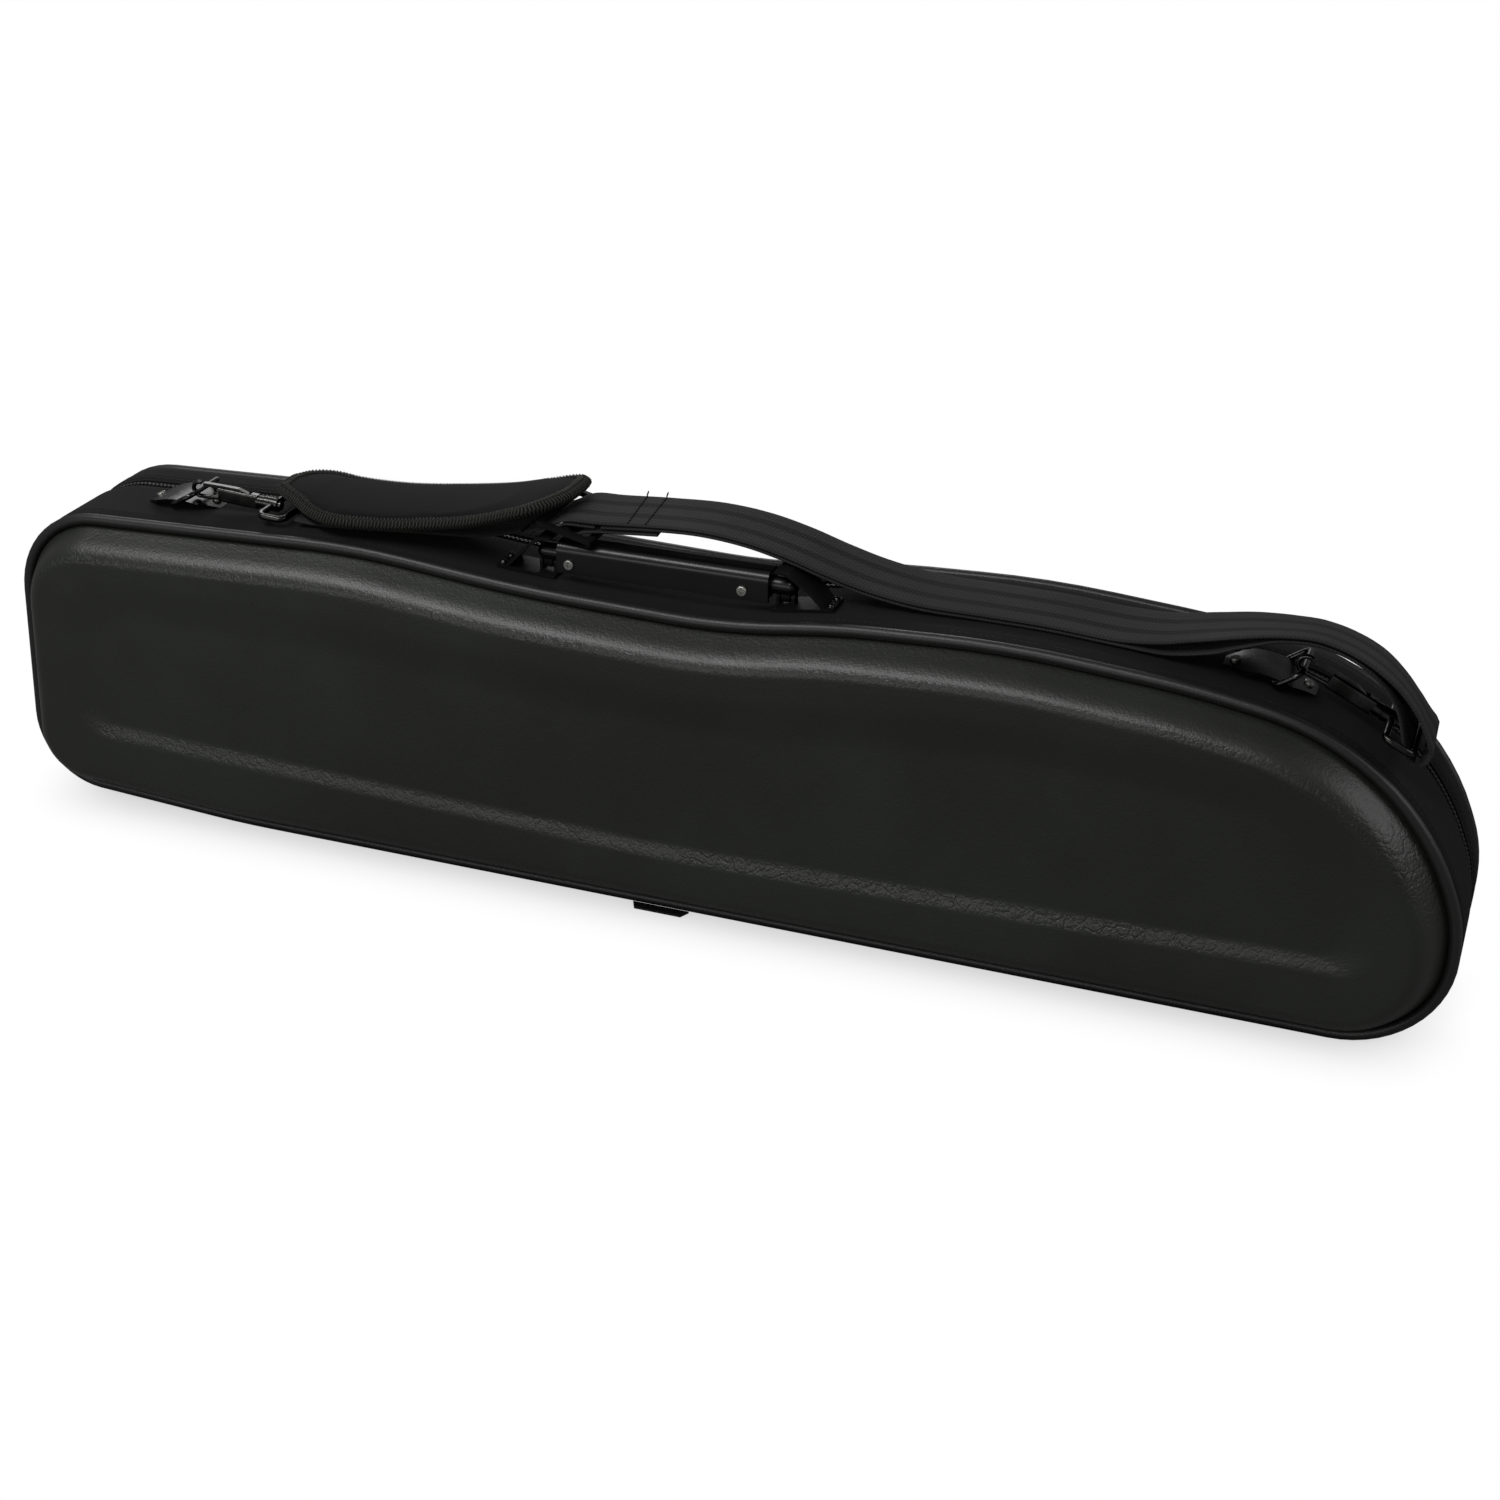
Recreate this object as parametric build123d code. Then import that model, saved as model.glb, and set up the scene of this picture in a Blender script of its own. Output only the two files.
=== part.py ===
"""Soft-sided soprano saxophone case, standing on its long bottom edge.

X runs along the case, Y through its depth (the viewer's side is -Y), Z is up, and z = 0 is the
surface that it stands on. The deep front half is the base, the shallow rear half is the lid.
"""
import os
from math import cos, degrees, radians, sin

from build123d import *

os.makedirs("parts", exist_ok=True)

# Outline of the case seen from the front: corner points x, z and the radius that rounds each
OUTLINE = [
    (360.0, 0.0, 50.0),
    (360.0, 68.0, 74.0),
    (329.0, 145.6, 115.0),
    (235.0, 161.0, 410.0),
    (155.0, 167.0, 500.0),
    (77.5, 163.3, 400.0),
    (26.0, 155.5, 310.0),
    (-75.0, 158.2, 800.0),
    (-162.0, 166.3, 420.0),
    (-351.9, 159.2, 50.0),
    (-362.4, 7.0, 37.0),
    (-240.0, 0.0, 600.0),
]
DEPTH = 72.5            # from the front piping to the rear piping
ZIP_Y = 11.7            # the zip lies behind the middle, so the base is the deeper half
PARTING = 0.4           # free gap between the halves at the zip

# Moulded trays
TRAY_HEIGHT = 18.0
TRAY_FOOT = 5.6         # how far inside the outline a tray starts, just inside the piping
TRAY_DRAFT = 27.0
TRAY_SHOULDER = 15.0
TRAY_WALL = 4.2
FIELD_INSET = 29.0      # the sunken middle field, measured from the outline
FIELD_DEPTH = 2.4
FIELD_DRAFT = 50.0
PIPING_RADIUS = 2.75

# Gussets, the stiff frames under them, and the zip
GUSSET_WALL = 3.4
GUSSET_RIM = 5.0        # width of the sloping rims beside piping and zip
GUSSET_RIM_DROP = 1.2
ZIP_REVEAL = 4.0        # tape seen on each side of the teeth
FRAME_OUT = 3.5
FRAME_IN = 8.0
TAPE_OUT = 2.1
TEETH_OUT = 1.2
TEETH_WIDTH = 1.1
HINGE_FROM, HINGE_TO = -262.0, 296.0     # the cloth hinge takes the bottom, the zip the rest
HINGE_ZONE = 4.5

# Hollows inside: the saxophone's x and radius there, and the accessory pocket
SAX_AXIS_Z = 59.0
SAX_HOLLOW = [(-325, 19), (-250, 23), (-60, 28), (150, 31), (235, 34), (285, 40), (315, 45)]
POCKET = (-322.0, -196.0, 101.0, 147.0)
POCKET_FLOOR = -30.0
POCKET_CORNER = 9.0
LINING_GAP = 0.3

# Handle
HANDLE_X = -10.0
HANDLE_Y = -17.5
GRIP = (104.0, 15.0, 14.5)
GRIP_Z = 162.2
GRIP_EDGE = 5.0
GRIP_WALL = 2.2
HORN_Z = 169.0
HORN_RADIUS = 4.15
PIVOT_Z = 163.8
PIVOT_RADIUS = 1.3
LUG_RADIUS = 2.6
RUNNING = 0.06          # radial play of a pin that turns
BRACKET_WIDTH = 15.0
BRACKET_SHEET = 1.4
BRACKETS = {            # side: height of the foot at the grip end and at the outer end
    -1: (158.3, 160.3),
    1: (158.6, 162.7),
}
SCREW_X = (-55.7, 29.7)
SCREW_Z = 166.7

# Strap hardware
HOOK_Y = -13.0
RING_WIDTH = 27.4       # between the wire's centre lines
RING_LENGTH = 14.0
RING_Y = -8.0
WIRE = 1.3
EYE_WIRE = 1.65
SADDLE_WIDTH = 24.0
SADDLE_SHEET = 1.2
SADDLE_CHORD = 41.0
SADDLE_RISE = 5.2
SADDLE_SCREW = (16.2, 2.05, 22.1)      # along the saddle, up, and the tilt of the screw
HOOK_LOOP = 3.6         # radius of the hook's bent centre line
HOOK_BAR = 2.2
GATE_PIN_X = 26.0
EYE_BAR_X = 41.5        # the eye's near bar, from the middle of the hook's bend
EYE_REACH = 13.0

# Shoulder strap: centre line of the upper layer from the adjuster to the curl at the far end
STRAP_WIDTH = 37.0
WEBBING = 1.5
STRAP_ROUTE = [
    (-79.5, -4.0, 178.0), (-70.0, -4.0, 181.7), (-66.5, -4.0, 183.2), (-62.8, -4.0, 185.5),
    (-57.0, -3.8, 187.2), (-44.0, -3.0, 187.4), (-20.0, 0.0, 188.1), (5.0, 1.5, 188.6),
    (28.0, 1.5, 186.6), (48.0, 1.0, 182.4), (66.0, 0.5, 177.2), (86.0, 0.0, 172.4),
    (110.0, -0.5, 169.4), (140.0, -1.0, 169.2), (170.0, -1.0, 168.7), (200.0, -1.5, 167.2),
    (218.0, -2.5, 168.6), (236.0, -5.0, 173.2), (254.0, -8.5, 178.2), (270.0, -10.5, 181.1),
    (285.0, -12.0, 181.9), (299.0, -12.5, 178.4), (310.5, -13.0, 172.6), (319.5, -13.0, 165.0),
    (326.5, -13.0, 156.5), (332.0, -13.0, 147.6), (335.2, -13.0, 141.6), (334.6, -13.0, 138.2),
    (332.0, -13.0, 136.4),
]
RETURN_ROUTE = [
    (329.2, -13.0, 136.6), (326.5, -13.0, 139.4), (324.6, -13.0, 144.2), (322.9, -13.0, 150.6),
    (320.2, -13.0, 157.6), (315.4, -13.0, 164.6), (307.5, -12.7, 171.6), (298.0, -12.3, 176.4),
    (285.0, -12.0, 179.8), (270.0, -10.5, 178.8), (256.0, -8.8, 174.6), (242.0, -6.0, 169.2),
    (222.0, -3.0, 165.0), (200.0, -1.5, 165.3), (170.0, -1.0, 166.9), (140.0, -1.0, 167.4),
    (110.0, -0.5, 167.6), (86.0, 0.0, 170.6), (66.0, 0.5, 175.4), (48.0, 1.0, 180.6),
    (28.0, 1.5, 184.8), (5.0, 1.5, 186.8), (-20.0, 0.0, 186.3), (-32.0, -1.5, 185.8),
    (-43.2, -2.9, 185.3),
]
# The strap twists where it arches over the right hook: share of the run, degrees about its heading
STRAP_LEAN = [
    (0.638, 0.0), (0.678, 2.0), (0.72, 4.0), (0.763, 6.0), (0.8, 9.0), (0.834, 10.5), (0.866, 10.0),
    (0.895, 9.0), (0.922, 9.5), (0.946, 9.0), (0.97, 6.0), (0.985, 2.0), (0.993, 0.0),
]
RETURN_LEAN = [
    (0.039, 0.0), (0.058, -2.5), (0.079, -5.0), (0.106, -8.0), (0.132, -10.0),
    (0.166, -10.5), (0.204, -9.0), (0.241, -6.0), (0.279, -3.0), (0.33, 0.0),
]
WRAP_ROUTE = [
    (-45.0, -3.0, 185.25), (-50.0, -3.3, 185.25), (-56.6, -3.7, 185.25), (-59.9, -3.9, 184.5),
    (-61.0, -4.0, 182.6), (-60.0, -4.0, 180.3), (-57.6, -4.0, 179.3), (-54.4, -3.8, 179.8),
    (-50.6, -3.6, 181.7), (-45.0, -3.0, 182.9), (-30.0, -1.2, 183.7), (-16.0, 0.2, 184.3),
]
SHORT_ROUTE = [
    (-201.0, -13.0, 168.6), (-190.0, -12.0, 167.5), (-165.0, -8.0, 167.4), (-135.0, -3.0, 167.6),
    (-112.0, -2.5, 169.2), (-97.0, -3.0, 172.0), (-82.5, -4.0, 176.6),
]
SHORT_WIDTH = 26.0

# Shoulder pad: x, front edge y, rear edge y, height of its middle
PAD_STATIONS = [
    (-219.0, -7.0, 8.0, 175.5), (-213.0, -12.0, 17.0, 175.4), (-203.0, -18.5, 21.5, 174.9),
    (-190.0, -27.0, 21.5, 173.8), (-176.0, -32.0, 22.0, 173.4), (-160.0, -31.5, 23.0, 173.7),
    (-143.0, -30.0, 24.8, 174.9), (-123.0, -28.5, 25.2, 177.6), (-103.0, -29.0, 22.2, 182.0),
    (-90.0, -29.3, 18.8, 186.2), (-82.0, -30.0, 17.0, 189.0), (-76.0, -29.8, 16.2, 191.0),
    (-71.0, -27.0, 16.0, 192.3), (-67.0, -22.5, 15.9, 193.0), (-63.5, -16.0, 14.4, 193.4),
    (-60.8, -8.0, 10.5, 193.6),
]
PAD_CROWN = 4.6
PAD_EDGE = 3.0


# Zip sliders, parked where the two meet at the lower left corner
LEFT_EDGE_LOW = (-359.8, 44.3)
LEFT_EDGE_HIGH = (-355.0, 114.4)
UPPER_SLIDER_AT = 5.6
CORNER_CENTRE = (-322.9, 41.8)
CORNER_RADIUS = 37.0
LOWER_SLIDER_ANGLE = 184.8
SLIDER_LENGTH = 10.5
SLIDER_WIDTH = 8.4
PULL_LENGTH = 17.0
PULL_PIVOT = (1.75, 1.9)
UPPER_PULL_SWING = 15.6
LOWER_PULL_SWING = 0.0


def outline_corners(inset):
    """Corner points and radii of the outline moved inwards."""
    points, radii = [], []
    count = len(OUTLINE)
    for i, (x, z, radius) in enumerate(OUTLINE):
        before, after = OUTLINE[i - 1], OUTLINE[(i + 1) % count]
        here = Vector(x, z)
        along_in = (here - Vector(before[0], before[1])).normalized()
        along_out = (Vector(after[0], after[1]) - here).normalized()
        left_in = Vector(-along_in.Y, along_in.X)
        left_out = Vector(-along_out.Y, along_out.X)
        moved = here + (left_in + left_out) * (inset / (1 + left_in.dot(left_out)))
        turns_left = along_in.cross(along_out).Z > 0
        points.append((moved.X, moved.Y))
        radii.append(max(radius - inset if turns_left else radius + inset, 3.0))
    return points, radii


def outline_wire(inset):
    """The outline in the plane of x and z, drawn as x and y."""
    points, radii = outline_corners(inset)
    return FilletPolyline(*points, radius=radii, close=True)


def outline_face(inset):
    return make_face(outline_wire(inset))


def stand(shape, y):
    """Turns what was drawn flat upright: its y becomes z, and its thickness grows towards -Y."""
    return Pos(0, y, 0) * (Plane.XZ * shape)


def slab(inset, y_from, y_to):
    return stand(extrude(outline_face(inset), amount=y_to - y_from), y_to)


def band(outer, inner, y_from, y_to):
    """A closed hoop that follows the outline."""
    return slab(outer, y_from, y_to) - slab(inner, y_from - 1, y_to + 1)


def block(x_from, x_to, y_from, y_to, z_from, z_to):
    centre = Pos((x_from + x_to) / 2, (y_from + y_to) / 2, (z_from + z_to) / 2)
    return centre * Box(x_to - x_from, y_to - y_from, z_to - z_from)


def rod(start, end, radius):
    """A round bar from one point to another."""
    start, end = Vector(start), Vector(end)
    bar = Cylinder(radius, (end - start).length, align=(Align.CENTER, Align.CENTER, Align.MIN))
    return Plane(start, z_dir=end - start) * bar


def upright_plate(points, y_from, y_to):
    """A plate with the given x, z outline, running from one y to the other."""
    return stand(extrude(make_face(Polyline(*points, close=True)), amount=y_to - y_from), y_to)


def lean_at(leans, share):
    """Degrees of twist at a share of the run, between the stated ones."""
    for (low, low_lean), (high, high_lean) in zip(leans, leans[1:]):
        if low <= share <= high:
            return low_lean + (high_lean - low_lean) * (share - low) / (high - low)
    return 0.0


def swept_band(route, width, thickness, steps, leans=()):
    """Flat webbing along a smooth route, its width level where it doesn't lean."""
    path = Spline(*route)
    sections = []
    for i in range(steps + 1):
        place, heading = path @ (i / steps), path % (i / steps)
        across = (Vector(0, 1, 0) - heading * heading.Y).normalized()
        across = across.rotate(Axis((0, 0, 0), heading), -lean_at(leans, i / steps))
        section = Plane(origin=place, x_dir=across, z_dir=heading) * Rectangle(width, thickness)
        sections.append(section)
    return loft(sections, ruled=True)


def tray_form(inset, height, shoulder):
    """The solid under a tray's skin: sloping sides with a rounded shoulder."""
    form = extrude(outline_face(inset), amount=height, taper=TRAY_DRAFT)
    return fillet(form.faces().sort_by(Axis.Z)[-1].edges(), shoulder)


def front_tray():
    """Moulded front shell with its sunken middle field."""
    skin = tray_form(TRAY_FOOT, TRAY_HEIGHT, TRAY_SHOULDER)
    field = extrude(outline_face(FIELD_INSET), amount=-FIELD_DEPTH, taper=FIELD_DRAFT)
    skin -= Pos(0, 0, TRAY_HEIGHT) * field
    inner_height = TRAY_HEIGHT - FIELD_DEPTH - TRAY_WALL
    skin -= tray_form(TRAY_FOOT + TRAY_WALL, inner_height, TRAY_SHOULDER - TRAY_WALL)
    return stand(skin, -DEPTH / 2)


def piping(side):
    """Round piping sewn into the seam between tray and gusset."""
    path = outline_wire(PIPING_RADIUS)
    start = Plane(path @ 0, z_dir=path % 0)
    cord = sweep(start * Circle(PIPING_RADIUS), path=path)
    return stand(cord, side * DEPTH / 2)


def gusset(y_from, y_to):
    """Padded fabric wall, full in the middle and drawn in at both rims."""
    slope = GUSSET_RIM_DROP / GUSSET_RIM
    half = (y_to - y_from) / 2
    drawn_in = extrude(outline_face(0), amount=half - GUSSET_RIM)
    rim_face = Pos(0, 0, half - GUSSET_RIM) * outline_face(0)
    rim = loft([rim_face, Pos(0, 0, half) * outline_face(GUSSET_RIM_DROP)], ruled=True)
    front = drawn_in + rim
    whole = front + mirror(front, about=Plane.XY)
    whole -= Pos(0, 0, -half - 1) * extrude(outline_face(GUSSET_WALL), amount=2 * half + 2)
    return stand(whole, (y_from + y_to) / 2)


def frame(y_from, y_to, y_seam, y_tray):
    """Stiff hoop under the gusset, with a lip that reaches the tray."""
    hoop = band(FRAME_OUT, FRAME_IN, y_from, y_to)
    lip = band(TRAY_FOOT + 0.1, FRAME_IN, min(y_seam, y_tray), max(y_seam, y_tray))
    return hoop + lip


def above_hinge(shape):
    return shape - block(HINGE_FROM, HINGE_TO, -DEPTH, DEPTH, -1, HINGE_ZONE)


def zip_tape(y_from, y_to):
    return above_hinge(band(TAPE_OUT, FRAME_OUT, y_from, y_to))


def zip_teeth(y_from, y_to):
    return above_hinge(band(TEETH_OUT, TAPE_OUT, y_from, y_to))


def cloth_hinge(y_from, y_to):
    """Half of the fabric fold that joins base and lid along the bottom."""
    return block(HINGE_FROM + 0.5, HINGE_TO - 0.5, y_from, y_to, 0.3, FRAME_OUT)


def sax_hollow():
    """Turned hollow for the instrument: body tube, keys and bell."""
    first, last = SAX_HOLLOW[0][0], SAX_HOLLOW[-1][0]
    half_section = Polyline((first, 0), *SAX_HOLLOW, (last, 0), close=True)
    turned = revolve(make_face(half_section), axis=Axis.X)
    return Pos(0, 0, SAX_AXIS_Z) * turned


def sax_way_out():
    """Straight-walled way by which the instrument lifts out of the base."""
    upper = [(x, SAX_AXIS_Z + radius) for x, radius in SAX_HOLLOW]
    lower = [(x, SAX_AXIS_Z - radius) for x, radius in reversed(SAX_HOLLOW)]
    return upright_plate(upper + lower, 0, ZIP_Y + 1)


def pocket_hollow():
    x_from, x_to, z_from, z_to = POCKET
    hollow = block(x_from, x_to, POCKET_FLOOR, ZIP_Y + 1, z_from, z_to)
    return fillet(hollow.edges().filter_by(Axis.Y), POCKET_CORNER)


def insert_form(y_to):
    """Foam block that fills one half, from its tray to the parting."""
    inset = FRAME_IN + LINING_GAP
    body = slab(inset, -DEPTH / 2, y_to)
    depth = TRAY_HEIGHT - FIELD_DEPTH - TRAY_WALL - LINING_GAP
    foot = TRAY_FOOT + TRAY_WALL + LINING_GAP
    return body + stand(tray_form(foot, depth, TRAY_SHOULDER - TRAY_WALL), -DEPTH / 2)


def base_insert():
    foam = insert_form(ZIP_Y - PARTING - 0.4)
    return foam - sax_hollow() - sax_way_out() - pocket_hollow()


def lid_insert():
    foam = mirror(insert_form(-ZIP_Y - PARTING - 0.4), about=Plane.XZ)
    return foam - sax_hollow()


def seam_tab():
    """Short leather tab sewn in under the front bottom seam."""
    side = -DEPTH / 2
    plan = Polyline((-22, side - 2.6), (-19.5, side - 7.5), (4.5, side - 7.5), (7, side - 2.6),
                    close=True)
    return Pos(0, 0, 0.05) * extrude(make_face(plan), amount=1.0)


def handle_grip():
    """Channel-shaped cover, open below, with rounded top edges."""
    length, depth, height = GRIP
    cover = Pos(HANDLE_X, HANDLE_Y, GRIP_Z + height / 2) * Box(length, depth, height)
    cover = fillet(cover.edges().filter_by(Axis.X).group_by(Axis.Z)[-1], GRIP_EDGE)
    core = Box(length + 2, depth - 2 * GRIP_WALL, height)
    cover -= Pos(HANDLE_X, HANDLE_Y, GRIP_Z + height / 2 - GRIP_WALL) * core
    for x in SCREW_X:
        cover -= rod((x, HANDLE_Y, SCREW_Z), (x, HANDLE_Y - depth, SCREW_Z), 1.5)
    return cover


def bracket_x(side, distance):
    """X at a distance outwards from the grip's end."""
    return HANDLE_X + side * (GRIP[0] / 2 + distance)


def pivot_rod(side, near, far, radius):
    """A rod along the handle's pivot, between two distances from the grip's end."""
    start, end = (bracket_x(side, distance) for distance in (near, far))
    return rod((start, HANDLE_Y, PIVOT_Z), (end, HANDLE_Y, PIVOT_Z), radius)


def handle_core():
    """Bar inside the grip whose round horns end in eyelets on the bracket pins."""
    length, depth, height = GRIP
    width = depth - 2 * GRIP_WALL - 0.2
    bar_top = GRIP_Z + height - GRIP_WALL - 0.1
    half = length / 2 - 1
    core = block(HANDLE_X - half, HANDLE_X + half, HANDLE_Y - width / 2, HANDLE_Y + width / 2,
                 GRIP_Z + 0.6, bar_top)
    for side in (-1, 1):
        tip = bracket_x(side, 8.2)
        horn = rod((HANDLE_X + side * half, HANDLE_Y, HORN_Z), (tip, HANDLE_Y, HORN_Z), HORN_RADIUS)
        horn += Pos(tip, HANDLE_Y, HORN_Z) * Sphere(HORN_RADIUS)
        for near, far in ((1.0, 4.6), (8.6, 13.0)):
            horn -= pivot_rod(side, near, far, LUG_RADIUS + 0.4)
        low, high = sorted((bracket_x(side, 4.6), bracket_x(side, 8.6)))
        width = LUG_RADIUS
        horn += block(low, high, HANDLE_Y - width, HANDLE_Y + width, PIVOT_Z, HORN_Z)
        horn += pivot_rod(side, 4.6, 8.6, width)
        core += horn - pivot_rod(side, 4, 9, PIVOT_RADIUS + RUNNING)
    for x in SCREW_X:
        core -= rod((x, HANDLE_Y + 1, SCREW_Z), (x, HANDLE_Y - depth, SCREW_Z), 1.2)
    return core


def cross_screw(head_radius, head_height, shank_radius, shank_length):
    """Pan-head screw along Z with its head up and a cross recess."""
    head = Cylinder(head_radius, head_height, align=(Align.CENTER, Align.CENTER, Align.MIN))
    head = fillet(head.edges().group_by(Axis.Z)[-1], head_height * 0.45)
    slot = Pos(0, 0, head_height) * Box(head_radius * 1.1, 0.55, head_height)
    head -= slot + Rot(0, 0, 90) * slot
    shank = Cylinder(shank_radius, shank_length, align=(Align.CENTER, Align.CENTER, Align.MAX))
    return head + shank


def handle_screws():
    face_y = HANDLE_Y - GRIP[1] / 2
    screw = cross_screw(2.5, 1.3, 1.15, 6.5)
    return [Pos(x, face_y, SCREW_Z) * Rot(90, 0, 0) * screw for x in SCREW_X]


def handle_bracket(side):
    """Hooded bracket: a foot on the gusset, a roof over the horn and two lugs for the pin."""
    z_in, z_out = BRACKETS[side]
    sheet = BRACKET_SHEET
    y_from, y_to = HANDLE_Y - BRACKET_WIDTH / 2, HANDLE_Y + BRACKET_WIDTH / 2

    def plate(points, y_low=y_from, y_high=y_to):
        placed = [(bracket_x(side, distance), z) for distance, z in points]
        return upright_plate(placed if side > 0 else placed[::-1], y_low, y_high)

    foot = plate([(1.4, z_in), (31, z_out), (31, z_out + sheet), (1.4, z_in + sheet)])
    roof = plate([(25.5, z_out + 0.4), (27.4, z_out + 0.4), (20.5, z_out + 8.0), (9.5, 178.2),
                  (3.2, 178.6), (2.6, 177.4), (8.9, 176.6), (18.9, z_out + 7.4)])
    bracket = foot + roof
    for near in (2.4, 9.6):
        low = z_in + (z_out - z_in) * near / 31 + 0.3
        bracket += plate([(near, low), (near + 1.4, low), (near + 1.4, PIVOT_Z), (near, PIVOT_Z)],
                         HANDLE_Y - LUG_RADIUS, HANDLE_Y + LUG_RADIUS)
        bracket += pivot_rod(side, near, near + 1.4, LUG_RADIUS)
    return bracket - pivot_rod(side, 1.5, 12, PIVOT_RADIUS)


def bracket_rivets():
    rivets = []
    for side in (-1, 1):
        z_in, z_out = BRACKETS[side]
        distance, slope = 29.0, (z_out - z_in) / 29.6
        tilt = Rot(0, -side * degrees(slope), 0)
        z = z_out + BRACKET_SHEET - (31 - distance) * slope
        head = Sphere(1.7) & block(-2, 2, -2, 2, 0.25, 2)
        for y in (HANDLE_Y - 4.2, HANDLE_Y + 4.2):
            rivets.append(Pos(bracket_x(side, distance), y, z) * tilt * head)
    return rivets


def leaning_plane(x, y, z, angle):
    """Plane whose x direction points right and rises by the angle, its y direction staying +Y."""
    rise = radians(angle)
    return Plane(origin=(x, y, z), x_dir=(cos(rise), 0, sin(rise)), z_dir=(-sin(rise), 0, cos(rise)))


class HookPlace:
    """Where one end's saddle, ring, hook and eye sit on the gusset."""

    def __init__(self, saddle_x, saddle_z, slope, ring_x, ring_z, lean, hook_x, hook_z, tilt,
                 eye_width):
        self.saddle = leaning_plane(saddle_x, RING_Y, saddle_z, slope)
        self.ring = leaning_plane(ring_x, RING_Y, ring_z, lean)
        self.hook = leaning_plane(hook_x, HOOK_Y, hook_z, tilt)
        self.eye_width = eye_width


PLACES = {
    "left": HookPlace(-270.0, 162.45, 2.2, -272.4, 164.6, 29.0, -259.7, 172.1, -3.5, 30.0),
    "right": HookPlace(264.6, 156.5, -11.2, 267.6, 157.75, 34.5, 279.6, 166.5, -26.6, 41.0),
}


def saddle_screw_places():
    along, up, tilt = SADDLE_SCREW
    return [Pos(side * along, 0, up) * Rot(0, side * tilt, 0) for side in (-1, 1)]


def saddle(place):
    """Arched strap plate that holds the ring down."""
    half, rise, wide = SADDLE_CHORD / 2, SADDLE_RISE, SADDLE_WIDTH / 2
    profile = ThreePointArc((-half, 0), (0, rise), (half, 0)) + Line((half, 0), (half - 2, -0.1))
    profile += ThreePointArc((half - 2, -0.1), (0, rise - SADDLE_SHEET), (2 - half, -0.1))
    profile += Line((2 - half, -0.1), (-half, 0))
    sheet = stand(extrude(make_face(profile), amount=SADDLE_WIDTH), wide)
    corner = [(half, 4.5), (11, wide)]
    plan = corner + [(-x, y) for x, y in reversed(corner)]
    plan += [(-x, -y) for x, y in corner] + [(x, -y) for x, y in reversed(corner)]
    sheet &= Pos(0, 0, -1) * extrude(make_face(Polyline(*plan, close=True)), amount=rise + 2)
    for screw_place in saddle_screw_places():
        sheet -= screw_place * Cylinder(1.1, 6)
    return place.saddle * sheet


def saddle_screws(place):
    screw = cross_screw(2.3, 1.1, 1.0, 1.5)
    return [place.saddle * screw_place * screw for screw_place in saddle_screw_places()]


def wire_loop(length, width, corner, radius):
    """Closed rectangle of round wire, measured between the wire's centre lines."""
    path = RectangleRounded(length, width, corner).wire()
    start = Plane(path @ 0, z_dir=path % 0)
    return sweep(start * Circle(radius), path=path)


def ring(place):
    """Bent wire ring, its near bar under the saddle."""
    return place.ring * Pos(RING_LENGTH / 2, 0) * wire_loop(RING_LENGTH, RING_WIDTH, 4, WIRE)


def hook_body(place):
    """Snap hook: bent nose round the ring, arm, shank and the stud of its swivel."""
    path = Plane.XZ * CenterArc((0, 0), HOOK_LOOP, 75, 195)
    start = Plane(path @ 0, z_dir=path % 0)
    nose = sweep(start * Circle(HOOK_BAR / 2), path=path)
    arm = rod((0, 0, -HOOK_LOOP), (13, 0, -HOOK_LOOP * 0.72), HOOK_BAR / 2)
    cheeks = block(11.5, 33, -2.4, 2.4, -3.8, 3.4)
    cheeks = fillet(cheeks.edges().filter_by(Axis.X), 1.2)
    cheeks -= block(10, GATE_PIN_X + 3.2, -1.35, 1.35, -1.2, 5)
    collar = rod((32.6, 0, 0), (36.4, 0, 0), 3.1)
    stud = rod((36, 0, 0), (45.4, 0, 0), 1.5) + rod((44.4, 0, 0), (45.6, 0, 0), 2.3)
    pin_bore = rod((GATE_PIN_X, -4, 0.8), (GATE_PIN_X, 4, 0.8), 0.8)
    return place.hook * (nose + arm + cheeks + collar + stud - pin_bore)


def hook_gate(place):
    """Sprung lever that closes the hook, pressed down to open it."""
    lever = upright_plate([(2.5, 2.5), (2.5, 4.0), (12, 4.4), (22, 4.6), (27.6, 3.0), (27.8, -0.6),
                           (24.4, -0.8), (22.5, 2.0), (12, 2.6)], -1.1, 1.1)
    lever -= rod((GATE_PIN_X, -4, 0.8), (GATE_PIN_X, 4, 0.8), 0.8 + RUNNING)
    return place.hook * lever


def gate_pin(place):
    return place.hook * rod((GATE_PIN_X, -2.4, 0.8), (GATE_PIN_X, 2.4, 0.8), 0.8)


def strap_eye(place):
    """Rectangular loop for the webbing with the swivel's barrel on its near bar."""
    middle = Pos(EYE_BAR_X + EYE_REACH / 2, 0)
    loop = middle * wire_loop(EYE_REACH, place.eye_width, 3.5, EYE_WIRE)
    barrel = rod((36.8, 0, 0), (44.0, 0, 0), 3.4)
    bore = rod((36, 0, 0), (44.2, 0, 0), 1.5 + RUNNING)
    return place.hook * (loop + barrel - bore)


def strap_adjuster():
    """Slider with a middle bar; the sewn end of the webbing turns round that bar."""
    frame_plate = Box(28, 45, 2.4) - Box(22, 39.4, 4) + Box(3, 45, 2.4)
    frame_plate = fillet(frame_plate.edges().filter_by(Axis.Z), 1.0)
    return Pos(-57.5, -4.0, 182.6) * Rot(0, 14, 0) * frame_plate


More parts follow.
